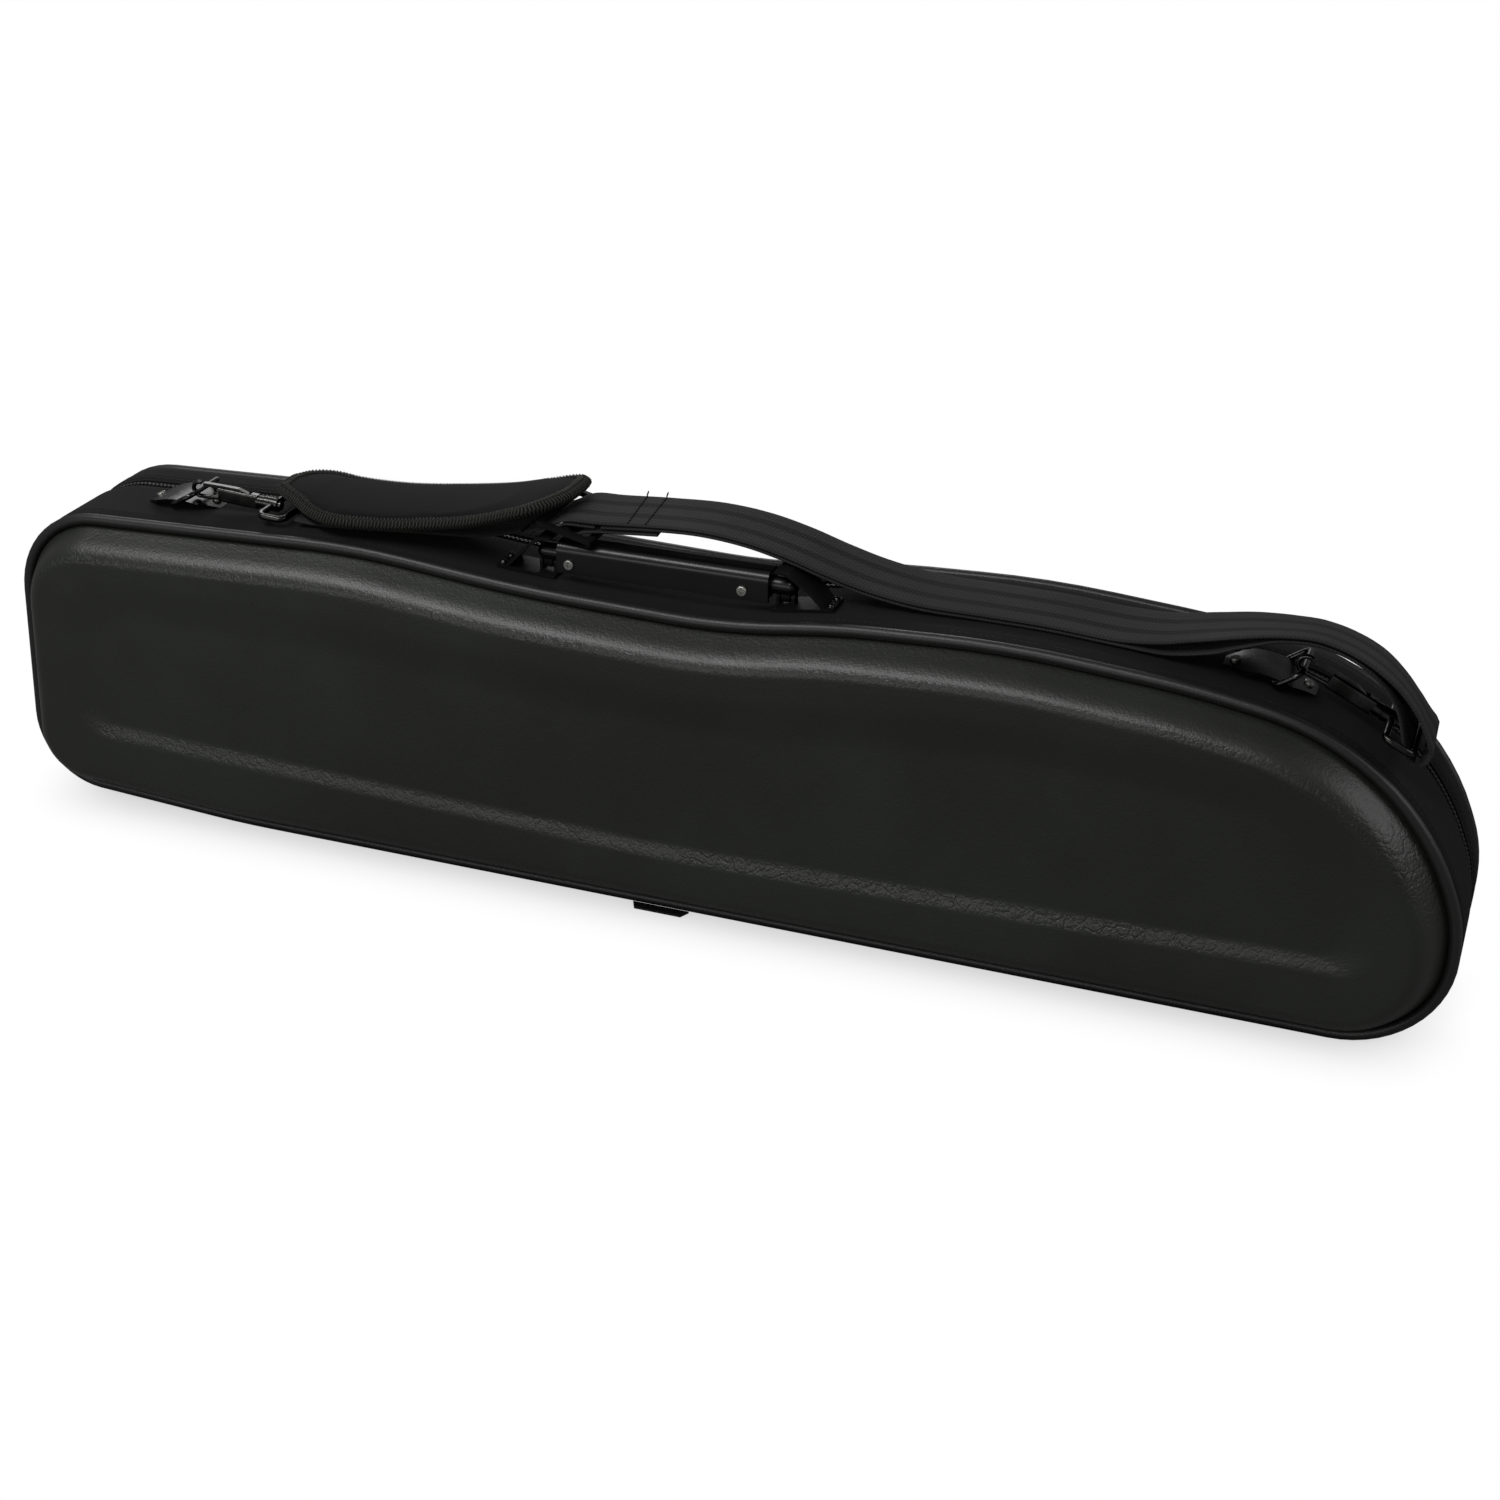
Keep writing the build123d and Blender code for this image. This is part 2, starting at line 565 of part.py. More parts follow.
def shoulder_pad():
    """Kidney-shaped pad with a crowned top, drawn down at its bound edge."""
    sections = []
    for x, front, rear, height in PAD_STATIONS:
        middle = (front + rear) / 2
        full = min(1.0, (rear - front) / 40)
        crown, edge = PAD_CROWN * (0.4 + 0.6 * full), PAD_EDGE * (0.5 + 0.5 * full)
        inset = min(2.5, (rear - front) / 6)
        section = ThreePointArc((front + inset, edge), (middle, crown), (rear - inset, edge))
        section += ThreePointArc((rear - inset, edge), (rear, 0), (rear - inset, -edge))
        section += ThreePointArc((rear - inset, -edge), (middle, -crown), (front + inset, -edge))
        section += ThreePointArc((front + inset, -edge), (front, 0), (front + inset, edge))
        sections.append(Pos(x, 0, height) * (Plane.YZ * make_face(section)))
    return loft(sections)


def edge_plane():
    """Plane on the straight left edge where the upper slider stops: x outwards, z up along it."""
    low, high = (Vector(x, ZIP_Y, z) for x, z in (LEFT_EDGE_LOW, LEFT_EDGE_HIGH))
    along = (high - low).normalized()
    outwards = Vector(-along.Z, 0, along.X)
    return Plane(origin=low + along * UPPER_SLIDER_AT, x_dir=outwards, z_dir=along)


def corner_plane():
    """The same on the rounded lower corner, just below, where the lower slider meets it."""
    angle = radians(LOWER_SLIDER_ANGLE)
    outwards = Vector(cos(angle), 0, sin(angle))
    centre = Vector(CORNER_CENTRE[0], ZIP_Y, CORNER_CENTRE[1])
    return Plane(origin=centre + outwards * CORNER_RADIUS, x_dir=outwards,
                 z_dir=(sin(angle), 0, -cos(angle)))


def zip_slider(plane):
    """Slider body over the teeth with the bridge that carries its pull."""
    half_length, half_width = SLIDER_LENGTH / 2, SLIDER_WIDTH / 2
    plate = block(-0.5, 1.1, -half_width, half_width, -half_length, half_length)
    plate = fillet(plate.edges().filter_by(Axis.X), 2.2)
    cheek = block(-1.5, -0.4, 2.2, half_width - 0.6, -3.4, 3.4)
    bridge = upright_plate([(1.0, -4.0), (3.3, -2.6), (3.3, 3.2), (1.0, 4.4)], -0.9, 0.9)
    bridge -= block(1.1, 2.4, -2, 2, -2.0, 2.6)
    return plane * (plate + cheek + mirror(cheek, about=Plane.XZ) + bridge)


def zip_pull(plane, swing):
    """Flat metal pull hanging from the bridge, turned outwards by the swing."""
    tag = block(-0.45, 0.45, -3.0, 3.0, -PULL_LENGTH, 0.5)
    tag = fillet(tag.edges().filter_by(Axis.X).group_by(Axis.Z)[0], 1.6)
    tag -= block(-1, 1, -1.45, 1.45, -6.8, -0.5)
    tag -= fillet(block(-1, 1, -1.4, 1.4, 3 - PULL_LENGTH, -8.6).edges().filter_by(Axis.X), 1.2)
    x, z = PULL_PIVOT
    return plane * Pos(x, 0, z) * Rot(0, -swing, 0) * tag


def export(node, shape):
    pieces = shape if isinstance(shape, list) else [shape]
    whole = Compound(children=[Compound(children=piece.solids()) for piece in pieces])
    whole.label = node
    export_step(whole, f"parts/{node}.step")


def main():
    base_edge, lid_edge = ZIP_Y - PARTING / 2, ZIP_Y + PARTING / 2
    seam = DEPTH / 2 - PIPING_RADIUS
    tray = front_tray()
    export("base_tray", tray)
    export("lid_tray", mirror(tray, about=Plane.XZ))
    export("base_piping", piping(-1))
    export("lid_piping", piping(1))
    export("base_gusset", gusset(-seam, ZIP_Y - ZIP_REVEAL))
    export("lid_gusset", gusset(ZIP_Y + ZIP_REVEAL, seam))
    export("base_frame", frame(-seam + 0.1, base_edge - 0.2, -seam + 0.1, -DEPTH / 2))
    export("lid_frame", frame(lid_edge + 0.2, seam - 0.1, seam - 0.1, DEPTH / 2))
    tape_in = TEETH_WIDTH + PARTING / 2
    export("base_zip_tape", zip_tape(ZIP_Y - ZIP_REVEAL, base_edge))
    export("lid_zip_tape", zip_tape(lid_edge, ZIP_Y + ZIP_REVEAL))
    export("base_zip_teeth", zip_teeth(ZIP_Y - tape_in, base_edge))
    export("lid_zip_teeth", zip_teeth(lid_edge, ZIP_Y + tape_in))
    export("base_cloth_hinge", cloth_hinge(ZIP_Y - ZIP_REVEAL, base_edge))
    export("lid_cloth_hinge", cloth_hinge(lid_edge, ZIP_Y + ZIP_REVEAL))
    export("base_insert", base_insert())
    export("lid_insert", lid_insert())
    export("seam_tab", seam_tab())

    export("handle_grip", handle_grip())
    export("handle_core", handle_core())
    export("handle_screws", handle_screws())
    export("handle_bracket_left", handle_bracket(-1))
    export("handle_bracket_right", handle_bracket(1))
    export("handle_pins", [pivot_rod(side, 2.0, 11.3, PIVOT_RADIUS) for side in (-1, 1)])
    export("bracket_rivets", bracket_rivets())

    screws = []
    for name, place in PLACES.items():
        export(f"saddle_{name}", saddle(place))
        screws += saddle_screws(place)
        export(f"ring_{name}", ring(place))
        export(f"hook_{name}", hook_body(place))
        export(f"hook_gate_{name}", hook_gate(place))
        export(f"gate_pin_{name}", gate_pin(place))
        export(f"strap_eye_{name}", strap_eye(place))
    export("saddle_screws", screws)

    export("shoulder_strap", swept_band(STRAP_ROUTE, STRAP_WIDTH, WEBBING, 64, STRAP_LEAN))
    export("strap_return", swept_band(RETURN_ROUTE, STRAP_WIDTH, WEBBING, 56, RETURN_LEAN))
    export("strap_wrap", swept_band(WRAP_ROUTE, STRAP_WIDTH, WEBBING, 36))
    export("strap_short", swept_band(SHORT_ROUTE, SHORT_WIDTH, WEBBING, 24))
    export("strap_adjuster", strap_adjuster())
    export("shoulder_pad", shoulder_pad())

    for name, plane, swing in (("lower", corner_plane(), LOWER_PULL_SWING),
                               ("upper", edge_plane(), UPPER_PULL_SWING)):
        export(f"zip_slider_{name}", zip_slider(plane))
        export(f"zip_pull_{name}", zip_pull(plane, swing))


main()
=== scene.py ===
"""Soprano saxophone case: finishes, webbing, pad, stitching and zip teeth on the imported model."""

from math import cos, pi, radians, sin, sqrt

import bmesh
import bpy
from mathutils import Matrix, Vector


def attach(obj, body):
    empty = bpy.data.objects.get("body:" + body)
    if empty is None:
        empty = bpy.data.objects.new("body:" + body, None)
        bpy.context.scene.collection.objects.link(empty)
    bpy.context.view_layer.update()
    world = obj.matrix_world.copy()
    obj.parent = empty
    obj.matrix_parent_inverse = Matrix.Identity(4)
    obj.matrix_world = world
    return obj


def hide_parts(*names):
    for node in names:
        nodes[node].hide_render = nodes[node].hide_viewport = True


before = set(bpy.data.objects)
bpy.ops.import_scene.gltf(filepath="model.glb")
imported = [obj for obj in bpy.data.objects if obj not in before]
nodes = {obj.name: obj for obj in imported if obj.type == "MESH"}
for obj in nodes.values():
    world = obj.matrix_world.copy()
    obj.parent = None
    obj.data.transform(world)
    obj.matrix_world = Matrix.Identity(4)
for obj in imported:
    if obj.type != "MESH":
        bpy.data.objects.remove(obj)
bpy.ops.object.select_all(action="DESELECT")
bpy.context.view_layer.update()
MM = 0.001

# The case's outline, as in the part's source: corner x, z and rounding radius, in millimetres
OUTLINE = [
    (360.0, 0.0, 50.0), (360.0, 68.0, 74.0), (329.0, 145.6, 115.0), (235.0, 161.0, 410.0),
    (155.0, 167.0, 500.0), (77.5, 163.3, 400.0), (26.0, 155.5, 310.0), (-75.0, 158.2, 800.0),
    (-162.0, 166.3, 420.0), (-351.9, 159.2, 50.0), (-362.4, 7.0, 37.0), (-240.0, 0.0, 600.0),
]
# The sunken middle field, with as many corners
FIELD = [
    (326.0, 47.0, 13.0), (323.0, 84.0, 84.0), (298.0, 124.0, 48.0), (225.0, 133.0, 300.0),
    (150.0, 135.0, 400.0), (80.0, 127.0, 300.0), (20.0, 121.0, 300.0), (-75.0, 125.0, 600.0),
    (-170.0, 133.0, 420.0), (-319.0, 131.0, 24.0), (-321.0, 50.5, 16.0), (0.0, 40.5, 900.0),
]
# Where that field's floor begins: close below its lower edge, far in from the soft upper ones
FIELD_FLOOR = [
    (316.0, 47.0, 13.0), (308.0, 82.0, 78.0), (284.0, 113.0, 46.0), (222.0, 118.0, 300.0),
    (150.0, 119.0, 400.0), (80.0, 112.0, 300.0), (20.0, 107.0, 300.0), (-75.0, 110.0, 600.0),
    (-170.0, 117.0, 420.0), (-307.0, 116.0, 30.0), (-311.0, 50.5, 16.0), (0.0, 40.5, 900.0),
]
SEAM_Y = 36.25
TRAY_FOOT, TRAY_HEIGHT = 5.6, 18.0
SLOPE_END, SHOULDER_END = 9.0, 20.5
FIELD_EDGE = 5.5        # half the width of the step at the field's lower edge
FIELD_SINK = 2.6


# Shapes

def outline_ring(inset, y, corners=OUTLINE, arc_steps=14, run_steps=3):
    """Rounded corners moved inwards, as points in millimetres. Every inset has as many points."""
    count = len(corners)
    moved = []
    for i, (x, z, radius) in enumerate(corners):
        here = Vector((x, z))
        before = Vector(corners[i - 1][:2])
        after = Vector(corners[(i + 1) % count][:2])
        come, go = (here - before).normalized(), (after - here).normalized()
        left_in, left_out = Vector((-come.y, come.x)), Vector((-go.y, go.x))
        corner = here + (left_in + left_out) * (inset / (1 + left_in.dot(left_out)))
        turn = come.x * go.y - come.y * go.x
        reach = max(radius - inset if turn > 0 else radius + inset, 3.0)
        moved.append((corner, come, go, reach, turn))
    arcs = []
    for corner, come, go, reach, turn in moved:
        half = come.angle(go) / 2
        back = reach * sin(half) / cos(half)
        side = 1 if turn > 0 else -1
        centre = corner - come * back + Vector((-come.y, come.x)) * (side * reach)
        start = corner - come * back - centre
        arc = []
        for k in range(arc_steps + 1):
            angle = side * 2 * half * k / arc_steps
            turned = Vector((start.x * cos(angle) - start.y * sin(angle),
                             start.x * sin(angle) + start.y * cos(angle)))
            arc.append(centre + turned)
        arcs.append(arc)
    points = []
    for i, arc in enumerate(arcs):
        points += arc
        following = arcs[(i + 1) % count][0]
        for k in range(1, run_steps):
            points.append(arc[-1].lerp(following, k / run_steps))
    return [Vector((p.x, y, p.y)) for p in points]


def dense_outline(inset, y, pitch):
    """Evenly spaced places along the outline: point, direction of travel and outward direction."""
    ring = outline_ring(inset, y, arc_steps=40, run_steps=8)
    ring.append(ring[0])
    places, carried = [], 0.0
    for a, b in zip(ring, ring[1:]):
        length = (b - a).length
        if length < 1e-6:
            continue
        along = (b - a) / length
        while carried < length:
            places.append((a + along * carried, along, Vector((along.z, 0, -along.x))))
            carried += pitch
        carried -= length
    return places


def smooth_route(points, spacing):
    """Points at even spacing on a smooth curve through the given points."""
    points = [Vector(p) for p in points]
    ends = [points[0] * 2 - points[1], *points, points[-1] * 2 - points[-2]]
    fine = []
    for p0, p1, p2, p3 in zip(ends, ends[1:], ends[2:], ends[3:]):
        t1 = sqrt((p1 - p0).length)
        t2 = t1 + sqrt((p2 - p1).length)
        t3 = t2 + sqrt((p3 - p2).length)
        for k in range(12):
            t = t1 + (t2 - t1) * k / 12
            a1 = p0.lerp(p1, t / t1)
            a2 = p1.lerp(p2, (t - t1) / (t2 - t1))
            a3 = p2.lerp(p3, (t - t2) / (t3 - t2))
            b1 = a1.lerp(a2, t / t2)
            b2 = a2.lerp(a3, (t - t1) / (t3 - t1))
            fine.append(b1.lerp(b2, (t - t1) / (t2 - t1)))
    fine.append(points[-1])
    total = sum((b - a).length for a, b in zip(fine, fine[1:]))
    count = max(2, round(total / spacing))
    step, even, gone, wanted = total / count, [fine[0]], 0.0, total / count
    for a, b in zip(fine, fine[1:]):
        length = (b - a).length
        while gone + length >= wanted - 1e-9 and len(even) < count:
            even.append(a.lerp(b, (wanted - gone) / length))
            wanted += step
        gone += length
    even.append(fine[-1])
    return even


def loft(name, loops, closed_ends=True, joined=False):
    """A skin over closed loops of points in millimetres, extruded from one loop to the next."""
    count = len(loops[0])
    bpy.ops.mesh.primitive_circle_add(vertices=count, radius=1)
    piece = bpy.context.object
    piece.name = piece.data.name = name
    bpy.ops.object.mode_set(mode="EDIT")
    mesh = bmesh.from_edit_mesh(piece.data)
    order = mesh.verts.layers.int.new("order")
    for i, vert in enumerate(mesh.verts):
        vert[order] = i
        vert.co = loops[0][i] * MM
    if closed_ends:
        bpy.ops.mesh.edge_face_add()
        mesh = bmesh.from_edit_mesh(piece.data)
        for face in mesh.faces:
            face.select = False
        for edge in mesh.edges:
            edge.select = True
    for loop in loops[1:]:
        bpy.ops.mesh.extrude_edges_move()
        mesh = bmesh.from_edit_mesh(piece.data)
        order = mesh.verts.layers.int["order"]
        for vert in mesh.verts:
            if vert.select:
                vert.co = loop[vert[order]] * MM
    if closed_ends:
        bpy.ops.mesh.edge_face_add()
    bmesh.update_edit_mesh(piece.data)
    bpy.ops.mesh.select_all(action="SELECT")
    if joined:
        bpy.ops.mesh.remove_doubles(threshold=0.00002)
    bpy.ops.mesh.normals_make_consistent(inside=False)
    bpy.ops.object.mode_set(mode="OBJECT")
    piece.select_set(False)
    return piece


def write_attribute(piece, name, values):
    """Writes one value per point, for a material to read."""
    attribute = piece.data.attributes.new(name, "FLOAT", "POINT")
    attribute.data.foreach_set("value", values)


def shade_smooth(piece, angle=35):
    bpy.ops.object.select_all(action="DESELECT")
    piece.select_set(True)
    bpy.context.view_layer.objects.active = piece
    bpy.ops.object.shade_smooth_by_angle(angle=radians(angle))
    piece.select_set(False)


def apply_modifier(piece, kind, **settings):
    modifier = piece.modifiers.new(kind.title(), kind)
    for key, value in settings.items():
        setattr(modifier, key, value)
    bpy.ops.object.select_all(action="DESELECT")
    piece.select_set(True)
    bpy.context.view_layer.objects.active = piece
    bpy.ops.object.modifier_apply(modifier=modifier.name)
    piece.select_set(False)


def repeat(name, seed, places):
    """Copies of a small seed piece at each place, as one mesh. The seed is used up."""
    collected = bmesh.new()
    for place in places:
        single = seed.data.copy()
        single.transform(place)
        collected.from_mesh(single)
        bpy.data.meshes.remove(single)
    mesh = bpy.data.meshes.new(name)
    collected.to_mesh(mesh)
    collected.free()
    mesh.update()
    bpy.data.objects.remove(seed)
    piece = bpy.data.objects.new(name, mesh)
    bpy.context.collection.objects.link(piece)
    return piece


def place_matrix(point, along, outwards):
    """Matrix with x along, z outwards and its origin at a point given in millimetres."""
    outwards = (outwards - along * outwards.dot(along)).normalized()
    side = outwards.cross(along)
    rows = [(along[i], side[i], outwards[i], point[i] * MM) for i in range(3)]
    return Matrix([*rows, (0, 0, 0, 1)])


def stitch_seed(length, radius):
    """One raised thread stitch along x."""
    bpy.ops.mesh.primitive_cylinder_add(vertices=6, radius=radius * MM, depth=length * 0.6 * MM,
                                        rotation=(0, pi / 2, 0))
    seed = bpy.context.object
    bpy.ops.object.transform_apply(location=False, rotation=True, scale=False)
    bpy.ops.object.mode_set(mode="EDIT")
    mesh = bmesh.from_edit_mesh(seed.data)
    bpy.ops.mesh.select_all(action="DESELECT")
    for end in (-1, 1):
        for face in mesh.faces:
            face.select = face.normal.x * end > 0.9
        bpy.ops.mesh.extrude_region_move(
            TRANSFORM_OT_translate={"value": (end * length * 0.2 * MM, 0, -radius * 0.6 * MM)})
        bpy.ops.transform.resize(value=(1, 0.45, 0.45), center_override=(
            end * length * 0.5 * MM, 0, -radius * 0.6 * MM))
        mesh = bmesh.from_edit_mesh(seed.data)
        bpy.ops.mesh.select_all(action="DESELECT")
    bpy.ops.object.mode_set(mode="OBJECT")
    bpy.ops.object.shade_smooth()
    seed.select_set(False)
    return seed


def finish_piece(piece, material, body, slot, *replaced):
    """Gives a piece its material and its body, and hides the nodes that it stands for."""
    piece.data.materials.clear()
    piece.data.materials.append(material)
    if replaced:
        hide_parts(*replaced)
    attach(piece, body)
    return piece


# Finishes

class Wire:
    """A shader socket that can be written into sums."""

    def __init__(self, tree, socket):
        self.tree, self.socket = tree, socket

    def maths(self, operation, other=None, swapped=False):
        node = self.tree.nodes.new("ShaderNodeMath")
        node.operation = operation
        first, second = (other, self) if swapped else (self, other)
        for socket, value in zip(node.inputs, (first, second)):
            if isinstance(value, Wire):
                self.tree.links.new(value.socket, socket)
            elif value is not None:
                socket.default_value = value
        return Wire(self.tree, node.outputs[0])

    def __add__(self, other):
        return self.maths("ADD", other)

    __radd__ = __add__

    def __mul__(self, other):
        return self.maths("MULTIPLY", other)

    __rmul__ = __mul__

    def __sub__(self, other):
        return self.maths("SUBTRACT", other)

    def __rsub__(self, other):
        return self.maths("SUBTRACT", other, swapped=True)

    def __pow__(self, other):
        return self.maths("POWER", other)

    def wave(self):
        """0 to 1 and back once each whole turn."""
        return (self * (2 * pi)).maths("SINE") * 0.5 + 0.5

    def step(self, low, high):
        """0 below low, 1 above high, smooth between."""
        node = self.tree.nodes.new("ShaderNodeMapRange")
        node.interpolation_type = "SMOOTHSTEP"
        self.tree.links.new(self.socket, node.inputs["Value"])
        node.inputs["From Min"].default_value = low
        node.inputs["From Max"].default_value = high
        return Wire(self.tree, node.outputs["Result"])


class Finish:
    """A material in the making."""

    def __init__(self, name, **surface):
        self.material = bpy.data.materials.new(name)
        self.material.use_nodes = True
        self.tree = self.material.node_tree
        self.surface = self.tree.nodes["Principled BSDF"]
        for socket, value in surface.items():
            self.surface.inputs[socket.replace("_", " ")].default_value = value
        self.place = self.node("ShaderNodeTexCoord").outputs["Object"]

    def node(self, kind, settings=None, **values):
        """Adds a node, sets it up and fills its sockets with values or links."""
        node = self.tree.nodes.new(kind)
        for key, value in (settings or {}).items():
            setattr(node, key, value)
        for key, value in values.items():
            socket = node.inputs[key.replace("_", " ")]
            if isinstance(value, Wire):
                value = value.socket
            if isinstance(value, bpy.types.NodeSocket):
                self.tree.links.new(value, socket)
            else:
                socket.default_value = value
        return node

    def stretched(self, x, y, z):
        mapping = self.node("ShaderNodeMapping", Vector=self.place, Scale=(x, y, z))
        return mapping.outputs["Vector"]

    def noise(self, scale, detail=3.0, vector=None, roughness=0.5, distortion=0.0):
        node = self.node("ShaderNodeTexNoise", Vector=vector or self.place, Scale=scale, Detail=detail,
                         Roughness=roughness, Distortion=distortion)
        return Wire(self.tree, node.outputs["Fac"])

    def cells(self, scale, feature="DISTANCE_TO_EDGE", vector=None):
        node = self.node("ShaderNodeTexVoronoi", {"feature": feature}, Vector=vector or self.place,
                         Scale=scale)
        return Wire(self.tree, node.outputs["Distance"])

    def axis(self, name):
        split = self.node("ShaderNodeSeparateXYZ", Vector=self.place)
        return Wire(self.tree, split.outputs[name])

    def normal(self, name):
        facing = self.node("ShaderNodeNewGeometry").outputs["True Normal"]
        split = self.node("ShaderNodeSeparateXYZ", Vector=facing)
        return Wire(self.tree, split.outputs[name])

    def own(self, name):
        """A value written on the mesh itself."""
        attribute = self.node("ShaderNodeAttribute", {"attribute_name": name})
        return Wire(self.tree, attribute.outputs["Fac"])

    def blend(self, factor, low, high):
        mix = self.node("ShaderNodeMix", {"data_type": "RGBA"})
        self.tree.links.new(factor.socket, mix.inputs["Factor"])
        for socket, colour in ((mix.inputs[6], low), (mix.inputs[7], high)):
            if isinstance(colour, bpy.types.NodeSocket):
                self.tree.links.new(colour, socket)
            else:
                socket.default_value = (*colour, 1)
        return mix.outputs[2]

    def colour(self, socket):
        self.tree.links.new(socket, self.surface.inputs["Base Color"])

    def rough(self, wire):
        self.tree.links.new(wire.socket, self.surface.inputs["Roughness"])

    def bump(self, height, distance, strength=1.0):
        node = self.node("ShaderNodeBump", Height=height, Distance=distance, Strength=strength)
        self.tree.links.new(node.outputs["Normal"], self.surface.inputs["Normal"])


def leather(name, colour, grain, creases, rough):
    made = Finish(name, Specular_IOR_Level=0.5)
    pebbles = made.cells(950 * grain, "SMOOTH_F1")
    fine = made.noise(2600 * grain, 2.0)
    broad = made.noise(9, 4.0)
    patches = made.noise(60, 3.0)
    height = (1 - pebbles) * 0.5 + fine * 0.18 + patches * 0.3 + made.noise(480 * grain, 2.0) * 0.7
    if creases:
        bent = made.node("ShaderNodeVectorMath", {"operation": "ADD"})
        shift = made.node("ShaderNodeTexNoise", Vector=made.place, Scale=70.0, Detail=2.0)
        scaled = made.node("ShaderNodeVectorMath", {"operation": "SCALE"}, Scale=0.008)
        made.tree.links.new(shift.outputs["Color"], scaled.inputs[0])
        made.tree.links.new(made.place, bent.inputs[0])
        made.tree.links.new(scaled.outputs[0], bent.inputs[1])
        lines = made.cells(170, vector=bent.outputs[0]).step(0.0, 0.16)
        small = made.cells(420, vector=bent.outputs[0]).step(0.0, 0.25)
        worn = made.noise(14, 2.0).step(0.42, 0.62)
        facing = made.normal("Z")
        bands = facing.step(0.1, 0.3) * (1 - facing.step(0.45, 0.7) * 0.9) * (0.35 + worn * 0.65)
        height = height + (lines * 1.1 + small * 0.8) * bands
    made.bump(height, 0.00005 * creases + 0.00009)
    pale = tuple(c * 1.5 for c in colour)
    made.colour(made.blend(broad.step(0.35, 0.7), colour, pale))
    made.rough(patches * 0.12 + (rough - 0.06) + pebbles * 0.08)
    return made.material


def cloth(name, colour, pale, threads, rough=0.85, sheen=0.02, depth=0.00012):
    """Plain weave with a thread pitch of one over threads metres."""
    made = Finish(name, Sheen_Weight=sheen, Sheen_Roughness=0.4, Specular_IOR_Level=0.12)
    x, y, z = (made.axis(a) for a in "XYZ")
    warp = ((x + z * 0.6) * threads).wave()
    weft = (y * threads).wave()
    weave = warp * weft + (1 - warp) * (1 - weft)
    wear = made.noise(16, 4.0)
    fuzz = made.noise(1900, 2.0)
    made.bump(weave * 0.7 + fuzz * 0.5, depth)
    made.colour(made.blend((wear * 0.7 + weave * 0.3).step(0.25, 0.75), colour, pale))
    made.rough(fuzz * 0.12 + (rough - 0.06))
    return made.material


def plush(name, colour, pale):
    made = Finish(name, Sheen_Weight=0.6, Sheen_Roughness=0.35, Roughness=0.95, Specular_IOR_Level=0.1)
    pile = made.noise(1500, 3.0, roughness=0.7)
    brushed = made.noise(22, 3.0, distortion=1.2)
    made.bump(pile + brushed * 0.6, 0.0004)
    made.colour(made.blend((pile * 0.4 + brushed * 0.6).step(0.3, 0.7), colour, pale))
    return made.material


def metal(name, colour, pale, rough):
    made = Finish(name, Metallic=1.0)
    smudges = made.noise(120, 3.0)
    scratches = made.noise(60, 2.0, vector=made.stretched(1, 26, 26))
    made.colour(made.blend(smudges.step(0.3, 0.75), colour, pale))
    made.rough(smudges * 0.16 + scratches * 0.08 + (rough - 0.1))
    made.bump(scratches * 0.6 + made.noise(420, 2.0) * 0.4, 0.00004)
    return made.material


def moulded(name, colour, rough, coarse=1200, depth=0.00005, shine=0.5):
    made = Finish(name, Specular_IOR_Level=shine)
    texture = made.noise(coarse, 2.0)
    rubbed = made.noise(35, 3.0)
    made.bump(texture, depth)
    made.colour(made.blend(rubbed.step(0.35, 0.7), colour, tuple(c * 1.5 for c in colour)))
    made.rough(rubbed * 0.14 + texture * 0.06 + (rough - 0.1))
    return made.material


def webbing_finish():
    """Ribbed webbing with two darker stripes, on the strap's own across and along values."""
    made = Finish("ribbed_webbing", Sheen_Weight=0.03, Sheen_Roughness=0.4, Specular_IOR_Level=0.2)
    across, along = made.own("across"), made.own("along")
    rib = (along * 620 + (across * 520).wave() * 0.5).wave()
    cords = (across * 520).wave()
    away = (across.maths("ABSOLUTE") - 0.0068).maths("ABSOLUTE")
    stripe = 1 - away.step(0.0021, 0.0029)
    edge = across.maths("ABSOLUTE").step(0.0165, 0.0176)
    fuzz = made.noise(2200, 2.0)
    wear = made.noise(28, 3.0)
    made.bump(rib * 0.6 + cords * 0.45 + fuzz * 0.35 + stripe * 0.25 - edge * 0.4, 0.00022)
    light = made.blend(wear.step(0.3, 0.7), (0.0185, 0.0193, 0.0183), (0.026, 0.027, 0.0255))
    striped = made.blend(stripe, light, (0.0045, 0.0049, 0.0045))
    made.colour(made.blend((rib * cords).step(0.0, 0.5) * 0.45 + 0.55, (0.005, 0.0053, 0.005), striped))
    made.rough(fuzz * 0.1 + 0.78)
    return made.material


def rim_finish():
    """Cloth under the overlock stitches of the pad's edge."""
    made = Finish("pad_edge_cloth", Sheen_Weight=0.02, Specular_IOR_Level=0.15)
    fuzz = made.noise(1500, 3.0)
    made.bump(fuzz, 0.0002)
    made.colour(made.blend(fuzz.step(0.3, 0.7), (0.0025, 0.0026, 0.0022), (0.006, 0.0062, 0.0052)))
    made.rough(fuzz * 0.1 + 0.78)
    return made.material


def thread_finish(name, colour, pale, shine=0.3):
    made = Finish(name, Specular_IOR_Level=shine, Sheen_Weight=0.02)
    twist = made.noise(1800, 2.0)
    made.bump(twist, 0.00008)
    made.colour(made.blend(twist.step(0.3, 0.7), colour, pale))
    made.rough(twist * 0.1 + 0.6)
    return made.material


